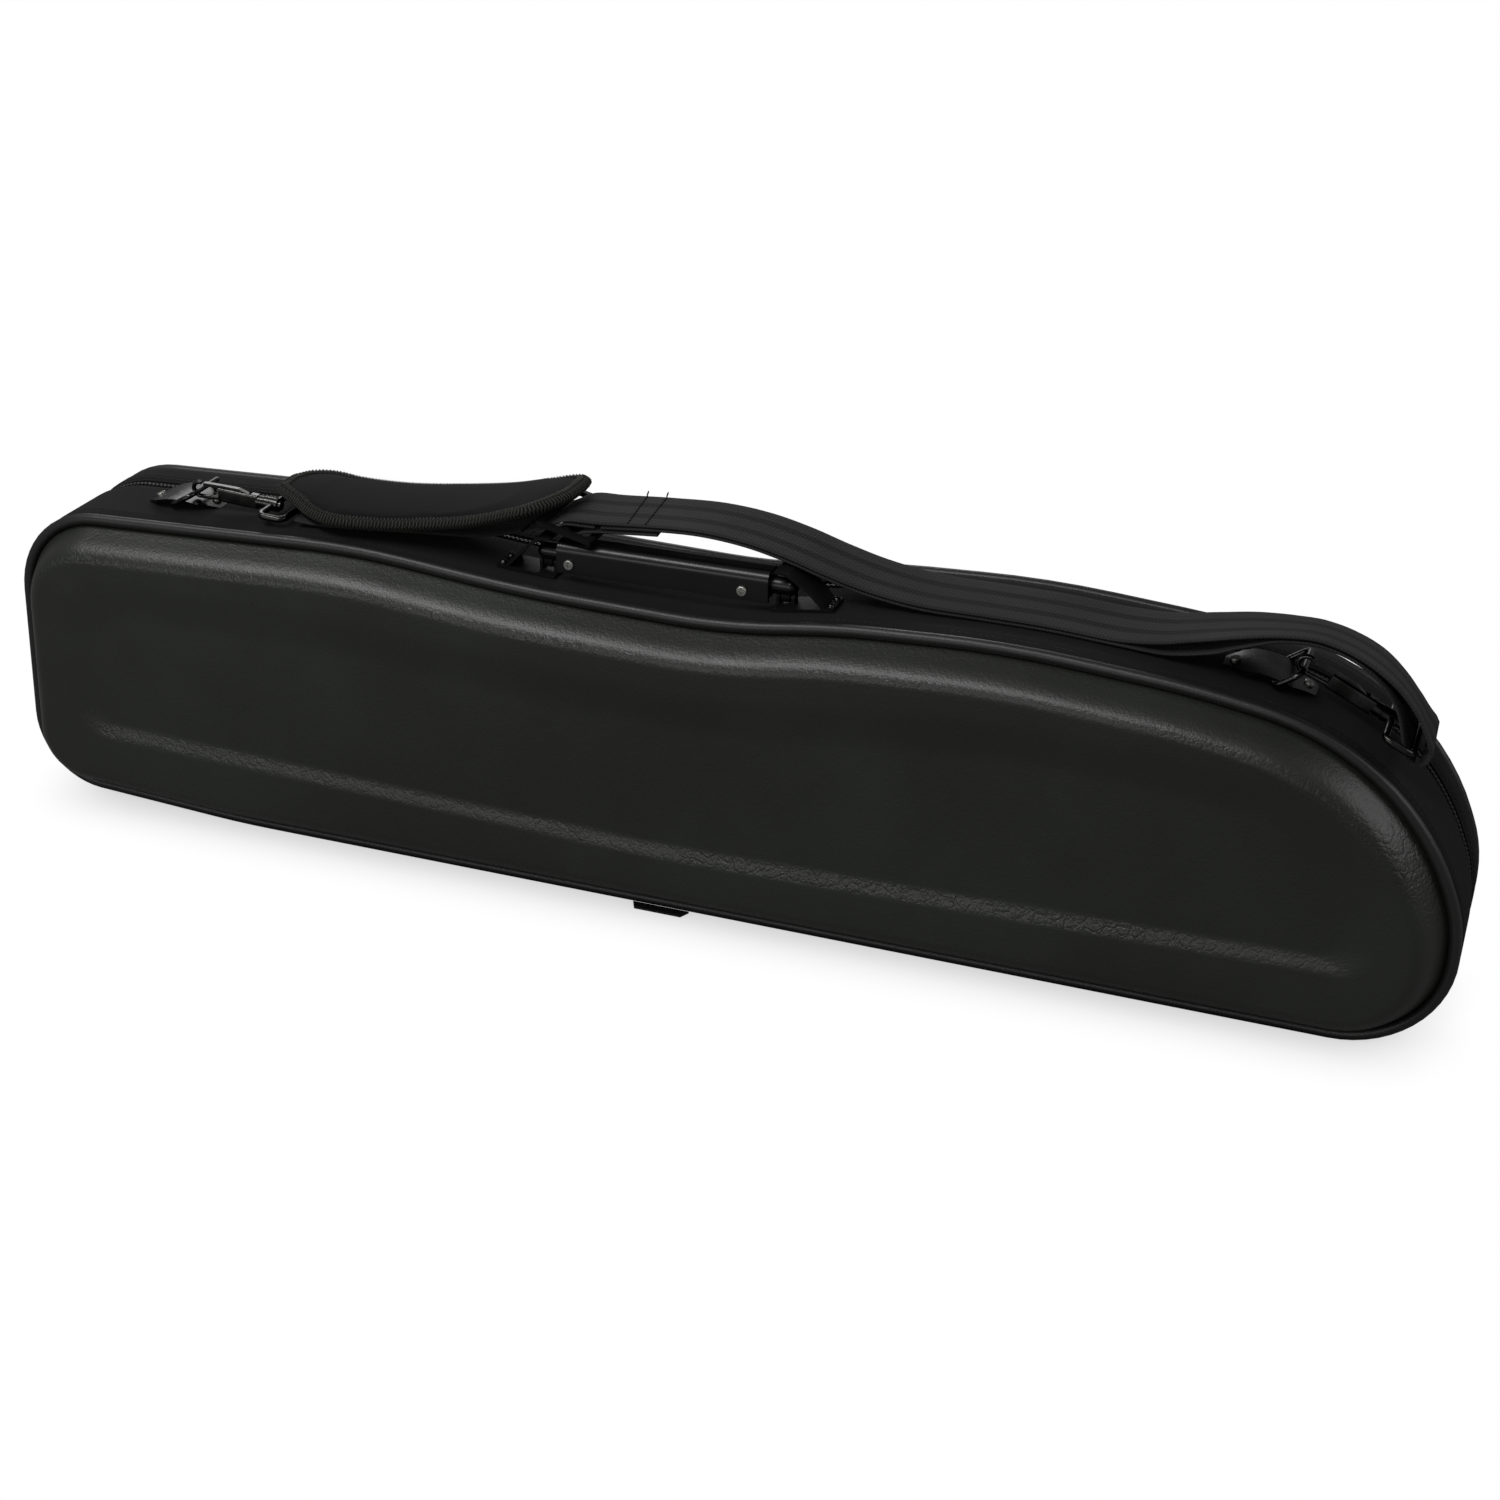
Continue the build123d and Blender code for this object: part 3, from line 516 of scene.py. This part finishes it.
def neoprene(name):
    """Smooth-knit cloth laminated on foam."""
    made = Finish(name, Sheen_Weight=0.02, Sheen_Roughness=0.45, Specular_IOR_Level=0.1)
    knit = (made.axis("X") * 1500).wave() * (made.axis("Y") * 1500).wave()
    fuzz = made.noise(1700, 3.0)
    broad = made.noise(18, 3.0)
    made.bump(knit * 0.5 + fuzz * 0.5, 0.00010)
    made.colour(made.blend(broad.step(0.3, 0.7), (0.0032, 0.0031, 0.0036), (0.005, 0.0049, 0.0055)))
    made.rough(fuzz * 0.08 + 0.78)
    return made.material


SHELL = leather("moulded_leather", (0.0118, 0.0135, 0.0108), 1.0, 1.0, 0.36)
PIPING = leather("piping_leather", (0.0075, 0.008, 0.0072), 1.2, 0.0, 0.4)
WALL = cloth("wall_cloth", (0.0068, 0.0066, 0.0069), (0.0102, 0.0098, 0.0103), 1500)
BOARD = moulded("frame_board", (0.02, 0.02, 0.02), 0.7, 600)
TAPE = cloth("zip_tape", (0.008, 0.008, 0.008), (0.014, 0.014, 0.014), 1300)
TEETH = moulded("zip_coil", (0.012, 0.012, 0.0125), 0.42, shine=0.35)
PLUSH = plush("plush_lining", (0.03, 0.031, 0.034), (0.06, 0.062, 0.066))
METAL = metal("black_nickel", (0.03, 0.03, 0.029), (0.085, 0.085, 0.083), 0.22)
BLACK = moulded("black_enamel", (0.004, 0.004, 0.004), 0.52, 700, shine=0.12)
SADDLE = metal("saddle_nickel", (0.016, 0.016, 0.0155), (0.045, 0.045, 0.044), 0.24)
SCREW = metal("screw_steel", (0.30, 0.30, 0.28), (0.45, 0.45, 0.42), 0.36)
GRIP = moulded("grip_cover", (0.0015, 0.0016, 0.0015), 0.28, 420, 0.000006, shine=0.4)
WEBBING = webbing_finish()
RIM = rim_finish()
PAD = neoprene("pad_cloth")
THREAD = thread_finish("dark_thread", (0.009, 0.009, 0.009), (0.018, 0.018, 0.017))
SEAM = thread_finish("seam_thread", (0.0012, 0.0012, 0.0012), (0.003, 0.003, 0.003), 0.05)
SEWING = thread_finish("pad_thread", (0.015, 0.0155, 0.012), (0.028, 0.029, 0.0235))

NODE_FINISH = {
    "base_tray": SHELL, "lid_tray": SHELL, "base_piping": PIPING, "lid_piping": PIPING,
    "base_gusset": WALL, "lid_gusset": WALL, "base_frame": BOARD, "lid_frame": BOARD,
    "base_zip_tape": TAPE, "lid_zip_tape": TAPE, "base_zip_teeth": TEETH, "lid_zip_teeth": TEETH,
    "base_cloth_hinge": WALL, "lid_cloth_hinge": WALL, "base_insert": PLUSH, "lid_insert": PLUSH,
    "seam_tab": PIPING, "handle_grip": GRIP, "handle_core": GRIP, "handle_screws": SCREW,
    "saddle_screws": SCREW, "shoulder_strap": WALL, "strap_return": WALL, "strap_wrap": WALL,
    "strap_short": WALL, "shoulder_pad": PAD, "strap_adjuster": BLACK,
    "handle_bracket_left": BLACK, "handle_bracket_right": BLACK,
    "saddle_left": SADDLE, "saddle_right": SADDLE,
}
for node_name, node_object in nodes.items():
    node_object.data.materials.clear()
    node_object.data.materials.append(NODE_FINISH.get(node_name, METAL))


# Camera, light and floor

camera_data = bpy.data.cameras.new("camera")
camera = bpy.data.objects.new("camera", camera_data)
bpy.context.collection.objects.link(camera)
camera_data.sensor_width = 36.0
camera_data.lens = 56.84
camera_data.clip_end = 20.0
# Its three directions and its place
right = Vector((0.9356, 0.3531, -0.0016))
up = Vector((-0.1618, 0.4329, 0.8868))
ahead = Vector((-0.3138, 0.8294, -0.4622))
eye = Vector((0.3790, -0.9385, 0.5957))
camera.matrix_world = Matrix((
    (right.x, up.x, -ahead.x, eye.x),
    (right.y, up.y, -ahead.y, eye.y),
    (right.z, up.z, -ahead.z, eye.z),
    (0, 0, 0, 1),
))
bpy.context.scene.camera = camera


def softbox(name, place, aim, width, height, power):
    """A rectangular lamp that the camera doesn't see."""
    light = bpy.data.lights.new(name, "AREA")
    light.shape = "RECTANGLE"
    light.size, light.size_y, light.energy = width, height, power
    lamp = bpy.data.objects.new(name, light)
    bpy.context.collection.objects.link(lamp)
    lamp.visible_camera = False
    lamp.location = place
    lamp.rotation_euler = (Vector(aim) - Vector(place)).to_track_quat("-Z", "Y").to_euler()


softbox("top_light", (-0.4, -0.58, 1.2), (0, 0, 0.12), 1.6, 0.17, 11)
softbox("front_light", (-0.4, -1.25, 0.4), (0, 0, 0.06), 1.6, 0.3, 3.4)
softbox("right_light", (1.4, 0.1, 0.8), (0.2, 0, 0.1), 0.8, 0.8, 4)
softbox("rear_light", (-0.7, 1.3, 0.9), (-0.1, 0, 0.15), 1.2, 0.5, 6)

# The camera sees white, everything else a dim level
world = bpy.data.worlds.new("studio")
bpy.context.scene.world = world
world.use_nodes = True
backdrop = world.node_tree.nodes["Background"]
seen = world.node_tree.nodes.new("ShaderNodeLightPath")
level = world.node_tree.nodes.new("ShaderNodeMapRange")
world.node_tree.links.new(seen.outputs["Is Camera Ray"], level.inputs["Value"])
level.inputs["To Min"].default_value = 0.17
level.inputs["To Max"].default_value = 1.0
world.node_tree.links.new(level.outputs["Result"], backdrop.inputs["Strength"])
backdrop.inputs["Color"].default_value = (1, 1, 1, 1)


def floor_finish():
    """White floor. The camera sees only its contact shadow, so nothing below it is hidden."""
    material = bpy.data.materials.new("studio_floor")
    material.use_nodes = True
    tree = material.node_tree
    tree.nodes.clear()
    output = tree.nodes.new("ShaderNodeOutputMaterial")
    chosen = tree.nodes.new("ShaderNodeMixShader")
    seen_mix = tree.nodes.new("ShaderNodeMixShader")
    clear, dark = tree.nodes.new("ShaderNodeBsdfTransparent"), tree.nodes.new("ShaderNodeEmission")
    white = tree.nodes.new("ShaderNodeBsdfDiffuse")
    white.inputs["Color"].default_value = (0.22, 0.22, 0.22, 1)
    dark.inputs["Color"].default_value = (0.02, 0.02, 0.02, 1)
    near = tree.nodes.new("ShaderNodeAmbientOcclusion")
    near.samples = 16
    near.inputs["Distance"].default_value = 0.03
    shadow = Wire(tree, near.outputs["AO"])
    amount = (1 - shadow) ** 1.8 * 0.45
    path = tree.nodes.new("ShaderNodeLightPath")
    tree.links.new(amount.socket, seen_mix.inputs["Fac"])
    tree.links.new(clear.outputs[0], seen_mix.inputs[1])
    tree.links.new(dark.outputs[0], seen_mix.inputs[2])
    # Light passes it, so a lid swung below it is lit as well
    to_camera, to_light = (Wire(tree, path.outputs[f"Is {kind} Ray"]) for kind in ("Camera", "Shadow"))
    passed = to_camera.maths("MAXIMUM", to_light)
    tree.links.new(passed.socket, chosen.inputs["Fac"])
    tree.links.new(white.outputs[0], chosen.inputs[1])
    tree.links.new(seen_mix.outputs[0], chosen.inputs[2])
    tree.links.new(chosen.outputs[0], output.inputs["Surface"])
    return material


bpy.ops.mesh.primitive_plane_add(size=8, location=(0, 0, -0.0003))
floor = bpy.context.object
floor.name = "studio_floor"
floor.data.materials.append(floor_finish())
bpy.context.scene.view_settings.view_transform = "Standard"


# Moulded shells

def soft_step(t):
    """0 to 1 with a soft start and end."""
    t = max(0.0, min(1.0, t))
    return t * t * (3 - 2 * t)


def shell_depth(inset):
    """How far a tray stands out from its seam at a distance inside the outline."""
    steepness, roundness = 1.96, 2.35
    start = (SLOPE_END - TRAY_FOOT) * steepness
    if inset <= SLOPE_END:
        return (inset - TRAY_FOOT) * steepness
    t = min(1.0, (inset - SLOPE_END) / (SHOULDER_END - SLOPE_END))
    return start + (TRAY_HEIGHT - start) * (1 - (1 - t) ** roundness)


def moulded_shell(name, side, body, node):
    """Leather shell with a round shoulder and a soft step down to its middle field."""
    insets = [5.65, 6.3, 7.1, 8.0, 9.0, 10.0, 11.0, 12.0, 13.2, 14.4, 15.6, 16.8, 18.0, 19.2, 20.5]
    loops = [outline_ring(inset, side * (SEAM_Y + shell_depth(inset))) for inset in insets]
    brim_y = side * (SEAM_Y + TRAY_HEIGHT - 0.1)
    lip = outline_ring(-FIELD_EDGE, brim_y, FIELD)
    loops.append([a.lerp(b, 0.5) for a, b in zip(loops[-1], lip)])
    floor_edge = outline_ring(FIELD_EDGE, brim_y, FIELD_FLOOR)
    steps = 13
    for k in range(steps + 1):
        down = Vector((0, side * FIELD_SINK * soft_step(k / (steps - 1)), 0))
        loops.append([a.lerp(b, k / steps) - down for a, b in zip(lip, floor_edge)])
    turned_in = [outline_ring(8.5, side * (SEAM_Y + 0.4)), outline_ring(6.4, side * SEAM_Y)]
    shell = loft(name, [*turned_in, *loops])
    shade_smooth(shell, 60)
    return finish_piece(shell, SHELL, body, "shell_leather", node)


moulded_shell("front_shell", -1, "base", "base_tray")
moulded_shell("rear_shell", 1, "lid", "lid_tray")


# Stitching beside the piping and the zip

STITCH, STITCH_RADIUS, STITCH_PITCH = 2.4, 0.22, 3.1
THICK_THREAD = 0.36     # radius of the strap's and the pad's thread


def seam_stitches(name, y, drop, body, from_z):
    """A row of thread stitches round the case, from a height upwards."""
    seed = stitch_seed(STITCH, STITCH_RADIUS)
    places = [place_matrix(point - outwards * drop, along, outwards)
              for point, along, outwards in dense_outline(0.0, y, STITCH_PITCH) if point.z > from_z]
    piece = repeat(name, seed, places)
    return finish_piece(piece, THREAD, body, "wall_fabric")


seam_stitches("front_seam_stitches", -30.2, 0.62, "base", 1.0)
seam_stitches("base_zip_stitches", 5.0, 0.45, "base", 5.0)
seam_stitches("lid_zip_stitches", 18.4, 0.45, "lid", 5.0)
seam_stitches("rear_seam_stitches", 30.2, 0.62, "lid", 1.0)


# Zip teeth

TOOTH_LENGTH, TOOTH_HEIGHT, TOOTH_BEVEL, TOOTH_PITCH = 0.95, 0.9, 0.22, 1.15
TOOTH_INSET = 1.65      # the middle of the teeth inside the case's outline
HINGE_FROM, HINGE_TO = -264.0, 298.0


def teeth(name, y_from, y_to, shift, body, node):
    """One side of the zip: every other tooth, the other side has those between."""
    bpy.ops.mesh.primitive_cube_add(size=1)
    seed = bpy.context.object
    seed.scale = (TOOTH_LENGTH * MM, (y_to - y_from) * MM, TOOTH_HEIGHT * MM)
    bpy.ops.object.transform_apply(location=False, rotation=False, scale=True)
    apply_modifier(seed, "BEVEL", width=TOOTH_BEVEL * MM, segments=2)
    places = []
    for i, (point, along, outwards) in enumerate(
            dense_outline(TOOTH_INSET, (y_from + y_to) / 2, TOOTH_PITCH)):
        under_hinge = point.z < 6 and HINGE_FROM < point.x < HINGE_TO
        if i % 2 == shift and not under_hinge:
            places.append(place_matrix(point, along, outwards))
    piece = repeat(name, seed, places)
    shade_smooth(piece, 50)
    return finish_piece(piece, TEETH, body, "zip_teeth", node)


teeth("base_coil", 10.35, 12.0, 0, "base", "base_zip_teeth")
teeth("lid_coil", 11.4, 13.05, 1, "lid", "lid_zip_teeth")


# Webbing

STRAP_WIDTH, SHORT_WIDTH, HALF_THICKNESS = 37.0, 26.0, 0.72
STRAP_ROUTE = [
    (-79.5, -4.0, 178.0), (-70.0, -4.0, 181.7), (-66.5, -4.0, 183.2), (-62.8, -4.0, 185.5),
    (-57.0, -3.8, 187.2), (-44.0, -3.0, 187.4), (-20.0, 0.0, 188.1), (5.0, 1.5, 188.6),
    (28.0, 1.5, 186.6), (48.0, 1.0, 182.4), (66.0, 0.5, 177.2), (86.0, 0.0, 172.4),
    (110.0, -0.5, 169.4), (140.0, -1.0, 169.2), (170.0, -1.0, 168.7), (200.0, -1.5, 167.2),
    (218.0, -2.5, 168.6), (236.0, -5.0, 173.2), (254.0, -8.5, 178.2), (270.0, -10.5, 181.1),
    (285.0, -12.0, 181.9), (299.0, -12.5, 178.4), (310.5, -13.0, 172.6), (319.5, -13.0, 165.0),
    (326.5, -13.0, 156.5), (332.0, -13.0, 147.6), (335.2, -13.0, 141.6), (334.6, -13.0, 138.2),
    (332.0, -13.0, 136.4),
]
RETURN_ROUTE = [
    (329.2, -13.0, 136.6), (326.5, -13.0, 139.4), (324.6, -13.0, 144.2), (322.9, -13.0, 150.6),
    (320.2, -13.0, 157.6), (315.4, -13.0, 164.6), (307.5, -12.7, 171.6), (298.0, -12.3, 176.4),
    (285.0, -12.0, 179.8), (270.0, -10.5, 178.8), (256.0, -8.8, 174.6), (242.0, -6.0, 169.2),
    (222.0, -3.0, 165.0), (200.0, -1.5, 165.3), (170.0, -1.0, 166.9), (140.0, -1.0, 167.4),
    (110.0, -0.5, 167.6), (86.0, 0.0, 170.6), (66.0, 0.5, 175.4), (48.0, 1.0, 180.6),
    (28.0, 1.5, 184.8), (5.0, 1.5, 186.8), (-20.0, 0.0, 186.3), (-32.0, -1.5, 185.8),
    (-43.2, -2.9, 185.3),
]
# Twist over the right hook: share of the run, degrees about its heading
STRAP_LEAN = [
    (0.638, 0.0), (0.678, 2.0), (0.72, 4.0), (0.763, 6.0), (0.8, 9.0), (0.834, 10.5), (0.866, 10.0),
    (0.895, 9.0), (0.922, 9.5), (0.946, 9.0), (0.97, 6.0), (0.985, 2.0), (0.993, 0.0),
]
RETURN_LEAN = [
    (0.039, 0.0), (0.058, -2.5), (0.079, -5.0), (0.106, -8.0), (0.132, -10.0),
    (0.166, -10.5), (0.204, -9.0), (0.241, -6.0), (0.279, -3.0), (0.33, 0.0),
]
WRAP_ROUTE = [
    (-45.0, -3.0, 185.25), (-50.0, -3.3, 185.25), (-56.6, -3.7, 185.25), (-59.9, -3.9, 184.5),
    (-61.0, -4.0, 182.6), (-60.0, -4.0, 180.3), (-57.6, -4.0, 179.3), (-54.4, -3.8, 179.8),
    (-50.6, -3.6, 181.7), (-45.0, -3.0, 182.9), (-30.0, -1.2, 183.7), (-16.0, 0.2, 184.3),
]
SHORT_ROUTE = [
    (-201.0, -13.0, 168.6), (-190.0, -12.0, 167.5), (-165.0, -8.0, 167.4), (-135.0, -3.0, 167.6),
    (-112.0, -2.5, 169.2), (-97.0, -3.0, 172.0), (-82.5, -4.0, 176.6),
]


def lean_at(leans, share):
    """The strap's twist at a share of its run."""
    for (low, low_lean), (high, high_lean) in zip(leans, leans[1:]):
        if low <= share <= high:
            return low_lean + (high_lean - low_lean) * (share - low) / (high - low)
    return 0.0


def webbing(name, route, width, spacing, leans, *replaced):
    """Flat strap with rounded edges that knows its own length and width."""
    line = smooth_route(route, spacing)
    half, thick = width / 2, HALF_THICKNESS
    section = [(-half, 0.0), (-half + 0.35, thick * 0.8)]
    section += [(-half + 1.0 + (width - 2.0) * k / 10, thick) for k in range(11)]
    section += [(half - 0.35, thick * 0.8), (half, 0.0)]
    section += [(across, -height) for across, height in reversed(section[1:-1])]
    loops, alongs, length = [], [], 0.0
    for i, point in enumerate(line):
        heading = (line[min(i + 1, len(line) - 1)] - line[max(i - 1, 0)]).normalized()
        side = (Vector((0, 1, 0)) - heading * heading.y).normalized()
        turn = Matrix.Rotation(radians(-lean_at(leans, i / (len(line) - 1))), 3, heading)
        side = turn @ side
        over = heading.cross(side).normalized()
        loops.append([point + side * a + over * u for a, u in section])
        if i:
            length += (point - line[i - 1]).length
        alongs += [length * MM] * len(section)
    piece = loft(name, loops)
    write_attribute(piece, "along", alongs)
    write_attribute(piece, "across", [a * MM for _ in line for a, _ in section])
    shade_smooth(piece, 60)
    finish_piece(piece, WEBBING, "base", "webbing", *replaced)
    return line


strap_line = webbing("strap_webbing", STRAP_ROUTE, STRAP_WIDTH, 3.0, STRAP_LEAN, "shoulder_strap")
webbing("return_webbing", RETURN_ROUTE, STRAP_WIDTH, 3.0, RETURN_LEAN, "strap_return")
webbing("wrap_webbing", WRAP_ROUTE, STRAP_WIDTH, 1.2, [], "strap_wrap")
webbing("short_webbing", SHORT_ROUTE, SHORT_WIDTH, 3.0, [], "strap_short")


def cross_seam(name, at_x):
    """A row of stitches across the strap."""
    index = min(range(1, len(strap_line) - 1), key=lambda i: abs(strap_line[i].x - at_x))
    heading = (strap_line[index + 1] - strap_line[index - 1]).normalized()
    side = (Vector((0, 1, 0)) - heading * heading.y).normalized()
    over = heading.cross(side).normalized()
    over = over if over.z > 0 else -over
    places = []
    for k in range(12):
        across = -16.5 + 3.0 * k
        places.append(place_matrix(strap_line[index] + side * across + over * 0.85, side, over))
    # The thread's loose end stands up from the far edge
    loose = (over + side * 0.5 + heading * 0.3).normalized()
    places.append(place_matrix(strap_line[index] + side * 18.2 + over * 1.9, loose, side))
    piece = repeat(name, stitch_seed(2.6, THICK_THREAD), places)
    return finish_piece(piece, SEAM, "base", "webbing")


cross_seam("strap_cross_seam_outer", -30.0)
cross_seam("strap_cross_seam_inner", -22.0)


# Shoulder pad

PAD_VOXEL, PUFF_LIMIT = 0.0022, 0.0012      # in metres
PAD_SLICES = 60
RIM_WIDE, RIM_TALL = 4.3, 2.5               # half the bound roll's width and height
RIM_IN, RIM_PITCH = 3.4, 1.8
# Along the pad: x, front y, rear y and height
PAD_STATIONS = [
    (-219.0, -7.0, 8.0, 175.5), (-213.0, -12.0, 17.0, 175.4), (-203.0, -18.5, 21.5, 174.9),
    (-190.0, -27.0, 21.5, 173.8), (-176.0, -32.0, 22.0, 173.4), (-160.0, -31.5, 23.0, 173.7),
    (-143.0, -30.0, 24.8, 174.9), (-123.0, -28.5, 25.2, 177.6), (-103.0, -29.0, 22.2, 182.0),
    (-90.0, -29.3, 18.8, 186.2), (-82.0, -30.0, 17.0, 189.0), (-76.0, -29.8, 16.2, 191.0),
    (-71.0, -27.0, 16.0, 192.3), (-67.0, -22.5, 15.9, 193.0), (-63.5, -16.0, 14.4, 193.4),
    (-60.8, -8.0, 10.5, 193.6),
]


def pad_sections():
    """Pairs of points on the pad's front and rear edge, from its left end to its right."""
    front = smooth_route([(x, y, z) for x, y, _, z in PAD_STATIONS], 3.0)
    rear = smooth_route([(x, y, z) for x, _, y, z in PAD_STATIONS], 3.0)
    pairs = []
    for k in range(PAD_SLICES + 1):
        t = k / PAD_SLICES
        pairs.append((front[round(t * (len(front) - 1))], rear[round(t * (len(rear) - 1))]))
    return pairs


def pad_body():
    """The crowned cushion inside its bound edge."""
    last = 13
    loops = []
    for front, rear in pad_sections():
        across = rear - front
        width = across.length
        full = min(1.0, width / 40)
        top = 4.3 * (0.4 + 0.6 * full)
        edge = 2.3 * (0.5 + 0.5 * full)
        side = across.normalized()
        # The underside hangs down on the strap where the pad rises at its right end
        sunk = top * (0.85 + 0.9 * soft_step((front.x + 108) / 26) * soft_step((-64 - front.x) / 12))
        loop = []
        for height, shares in ((top, range(last + 1)), (-sunk, range(last, -1, -1))):
            brim = edge * 0.35 * (1 if height > 0 else -1)
            for k in shares:
                bulge = max(0.0, sin(pi * k / last)) ** 0.55
                level = brim + (height - brim) * bulge
                loop.append(front + side * (width * k / last) + Vector((0, 0, level)))
        loops.append(loop)
    pad = loft("pad_cushion", loops)
    apply_modifier(pad, "REMESH", mode="VOXEL", voxel_size=PAD_VOXEL, use_smooth_shade=True)
    apply_modifier(pad, "SMOOTH", factor=0.5, iterations=6)
    return pad


def puff(pad, limit):
    """Blows the pad up a little with cloth pressure and keeps every point within the limit."""
    before = [v.co.copy() for v in pad.data.vertices]
    pad.modifiers.new("Cloth", "CLOTH")
    cloth_settings = pad.modifiers["Cloth"].settings
    cloth_settings.use_pressure = True
    cloth_settings.uniform_pressure_force = 4
    cloth_settings.effector_weights.gravity = 0
    cloth_settings.quality = 4
    pad.modifiers["Cloth"].collision_settings.use_collision = False
    scene = bpy.context.scene
    for step in range(1, 15):
        scene.frame_set(step)
    bpy.ops.object.select_all(action="DESELECT")
    pad.select_set(True)
    bpy.context.view_layer.objects.active = pad
    bpy.ops.object.modifier_apply(modifier="Cloth")
    pad.select_set(False)
    scene.frame_set(1)
    for vert, rest in zip(pad.data.vertices, before):
        move = vert.co - rest
        if move.length > limit:
            vert.co = rest + move.normalized() * limit


pad = pad_body()
puff(pad, PUFF_LIMIT)
shade_smooth(pad, 80)
finish_piece(pad, PAD, "base", "pad_fabric", "shoulder_pad")


def rim_places():
    """Places round the pad's edge: middle of the bound roll, heading and inward direction."""
    pairs = pad_sections()
    edge_line = [front for front, _ in pairs] + [rear for _, rear in reversed(pairs)]
    middle = [(front + rear) / 2 for front, rear in pairs]
    after = edge_line[1:] + edge_line[:1]
    apart = [point for point, following in zip(edge_line, after) if (following - point).length > 0.3]
    corners = smooth_route(apart + [apart[0]], RIM_PITCH)[:-1]
    places = []
    for i, point in enumerate(corners):
        heading = (corners[(i + 1) % len(corners)] - corners[i - 1]).normalized()
        inwards = min(middle, key=lambda m: (m - point).length) - point
        inwards.z = 0
        inwards = (inwards - heading * inwards.dot(heading)).normalized()
        places.append((point + inwards * RIM_IN, heading, inwards))
    return places


def on_rim(place, angle):
    """A point of the roll's surface with the directions round it and out of it."""
    middle, _, inwards = place
    over = Vector((0, 0, 1))
    point = middle + inwards * (RIM_WIDE * cos(angle)) + over * (RIM_TALL * sin(angle))
    round_it = (over * (RIM_TALL * cos(angle)) - inwards * (RIM_WIDE * sin(angle))).normalized()
    outwards = (inwards * (cos(angle) / RIM_WIDE) + over * (sin(angle) / RIM_TALL)).normalized()
    return point, round_it, outwards


def pad_rim():
    """The bound edge: a flattened roll all round the pad."""
    loops = [[on_rim(place, 2 * pi * k / 14)[0] for k in range(14)] for place in rim_line]
    rim = loft("pad_rim", [*loops, loops[0]], closed_ends=False, joined=True)
    shade_smooth(rim, 80)
    return finish_piece(rim, RIM, "base", "pad_fabric")


def rim_stitches():
    """Overlock threads side by side round the roll, in three rows from its top to its underside."""
    places = []
    for i, place in enumerate(rim_line):
        for angle in (86, 141, 196):
            point, round_it, outwards = on_rim(place, radians(angle + 5 * (i % 2)))
            slanted = (round_it + place[1] * 0.22).normalized()
            places.append(place_matrix(point + outwards * 0.1, slanted, outwards))
    threads = repeat("pad_rim_threads", stitch_seed(3.5, THICK_THREAD), places)
    return finish_piece(threads, SEWING, "base", "pad_fabric")


rim_line = rim_places()
pad_rim()
rim_stitches()
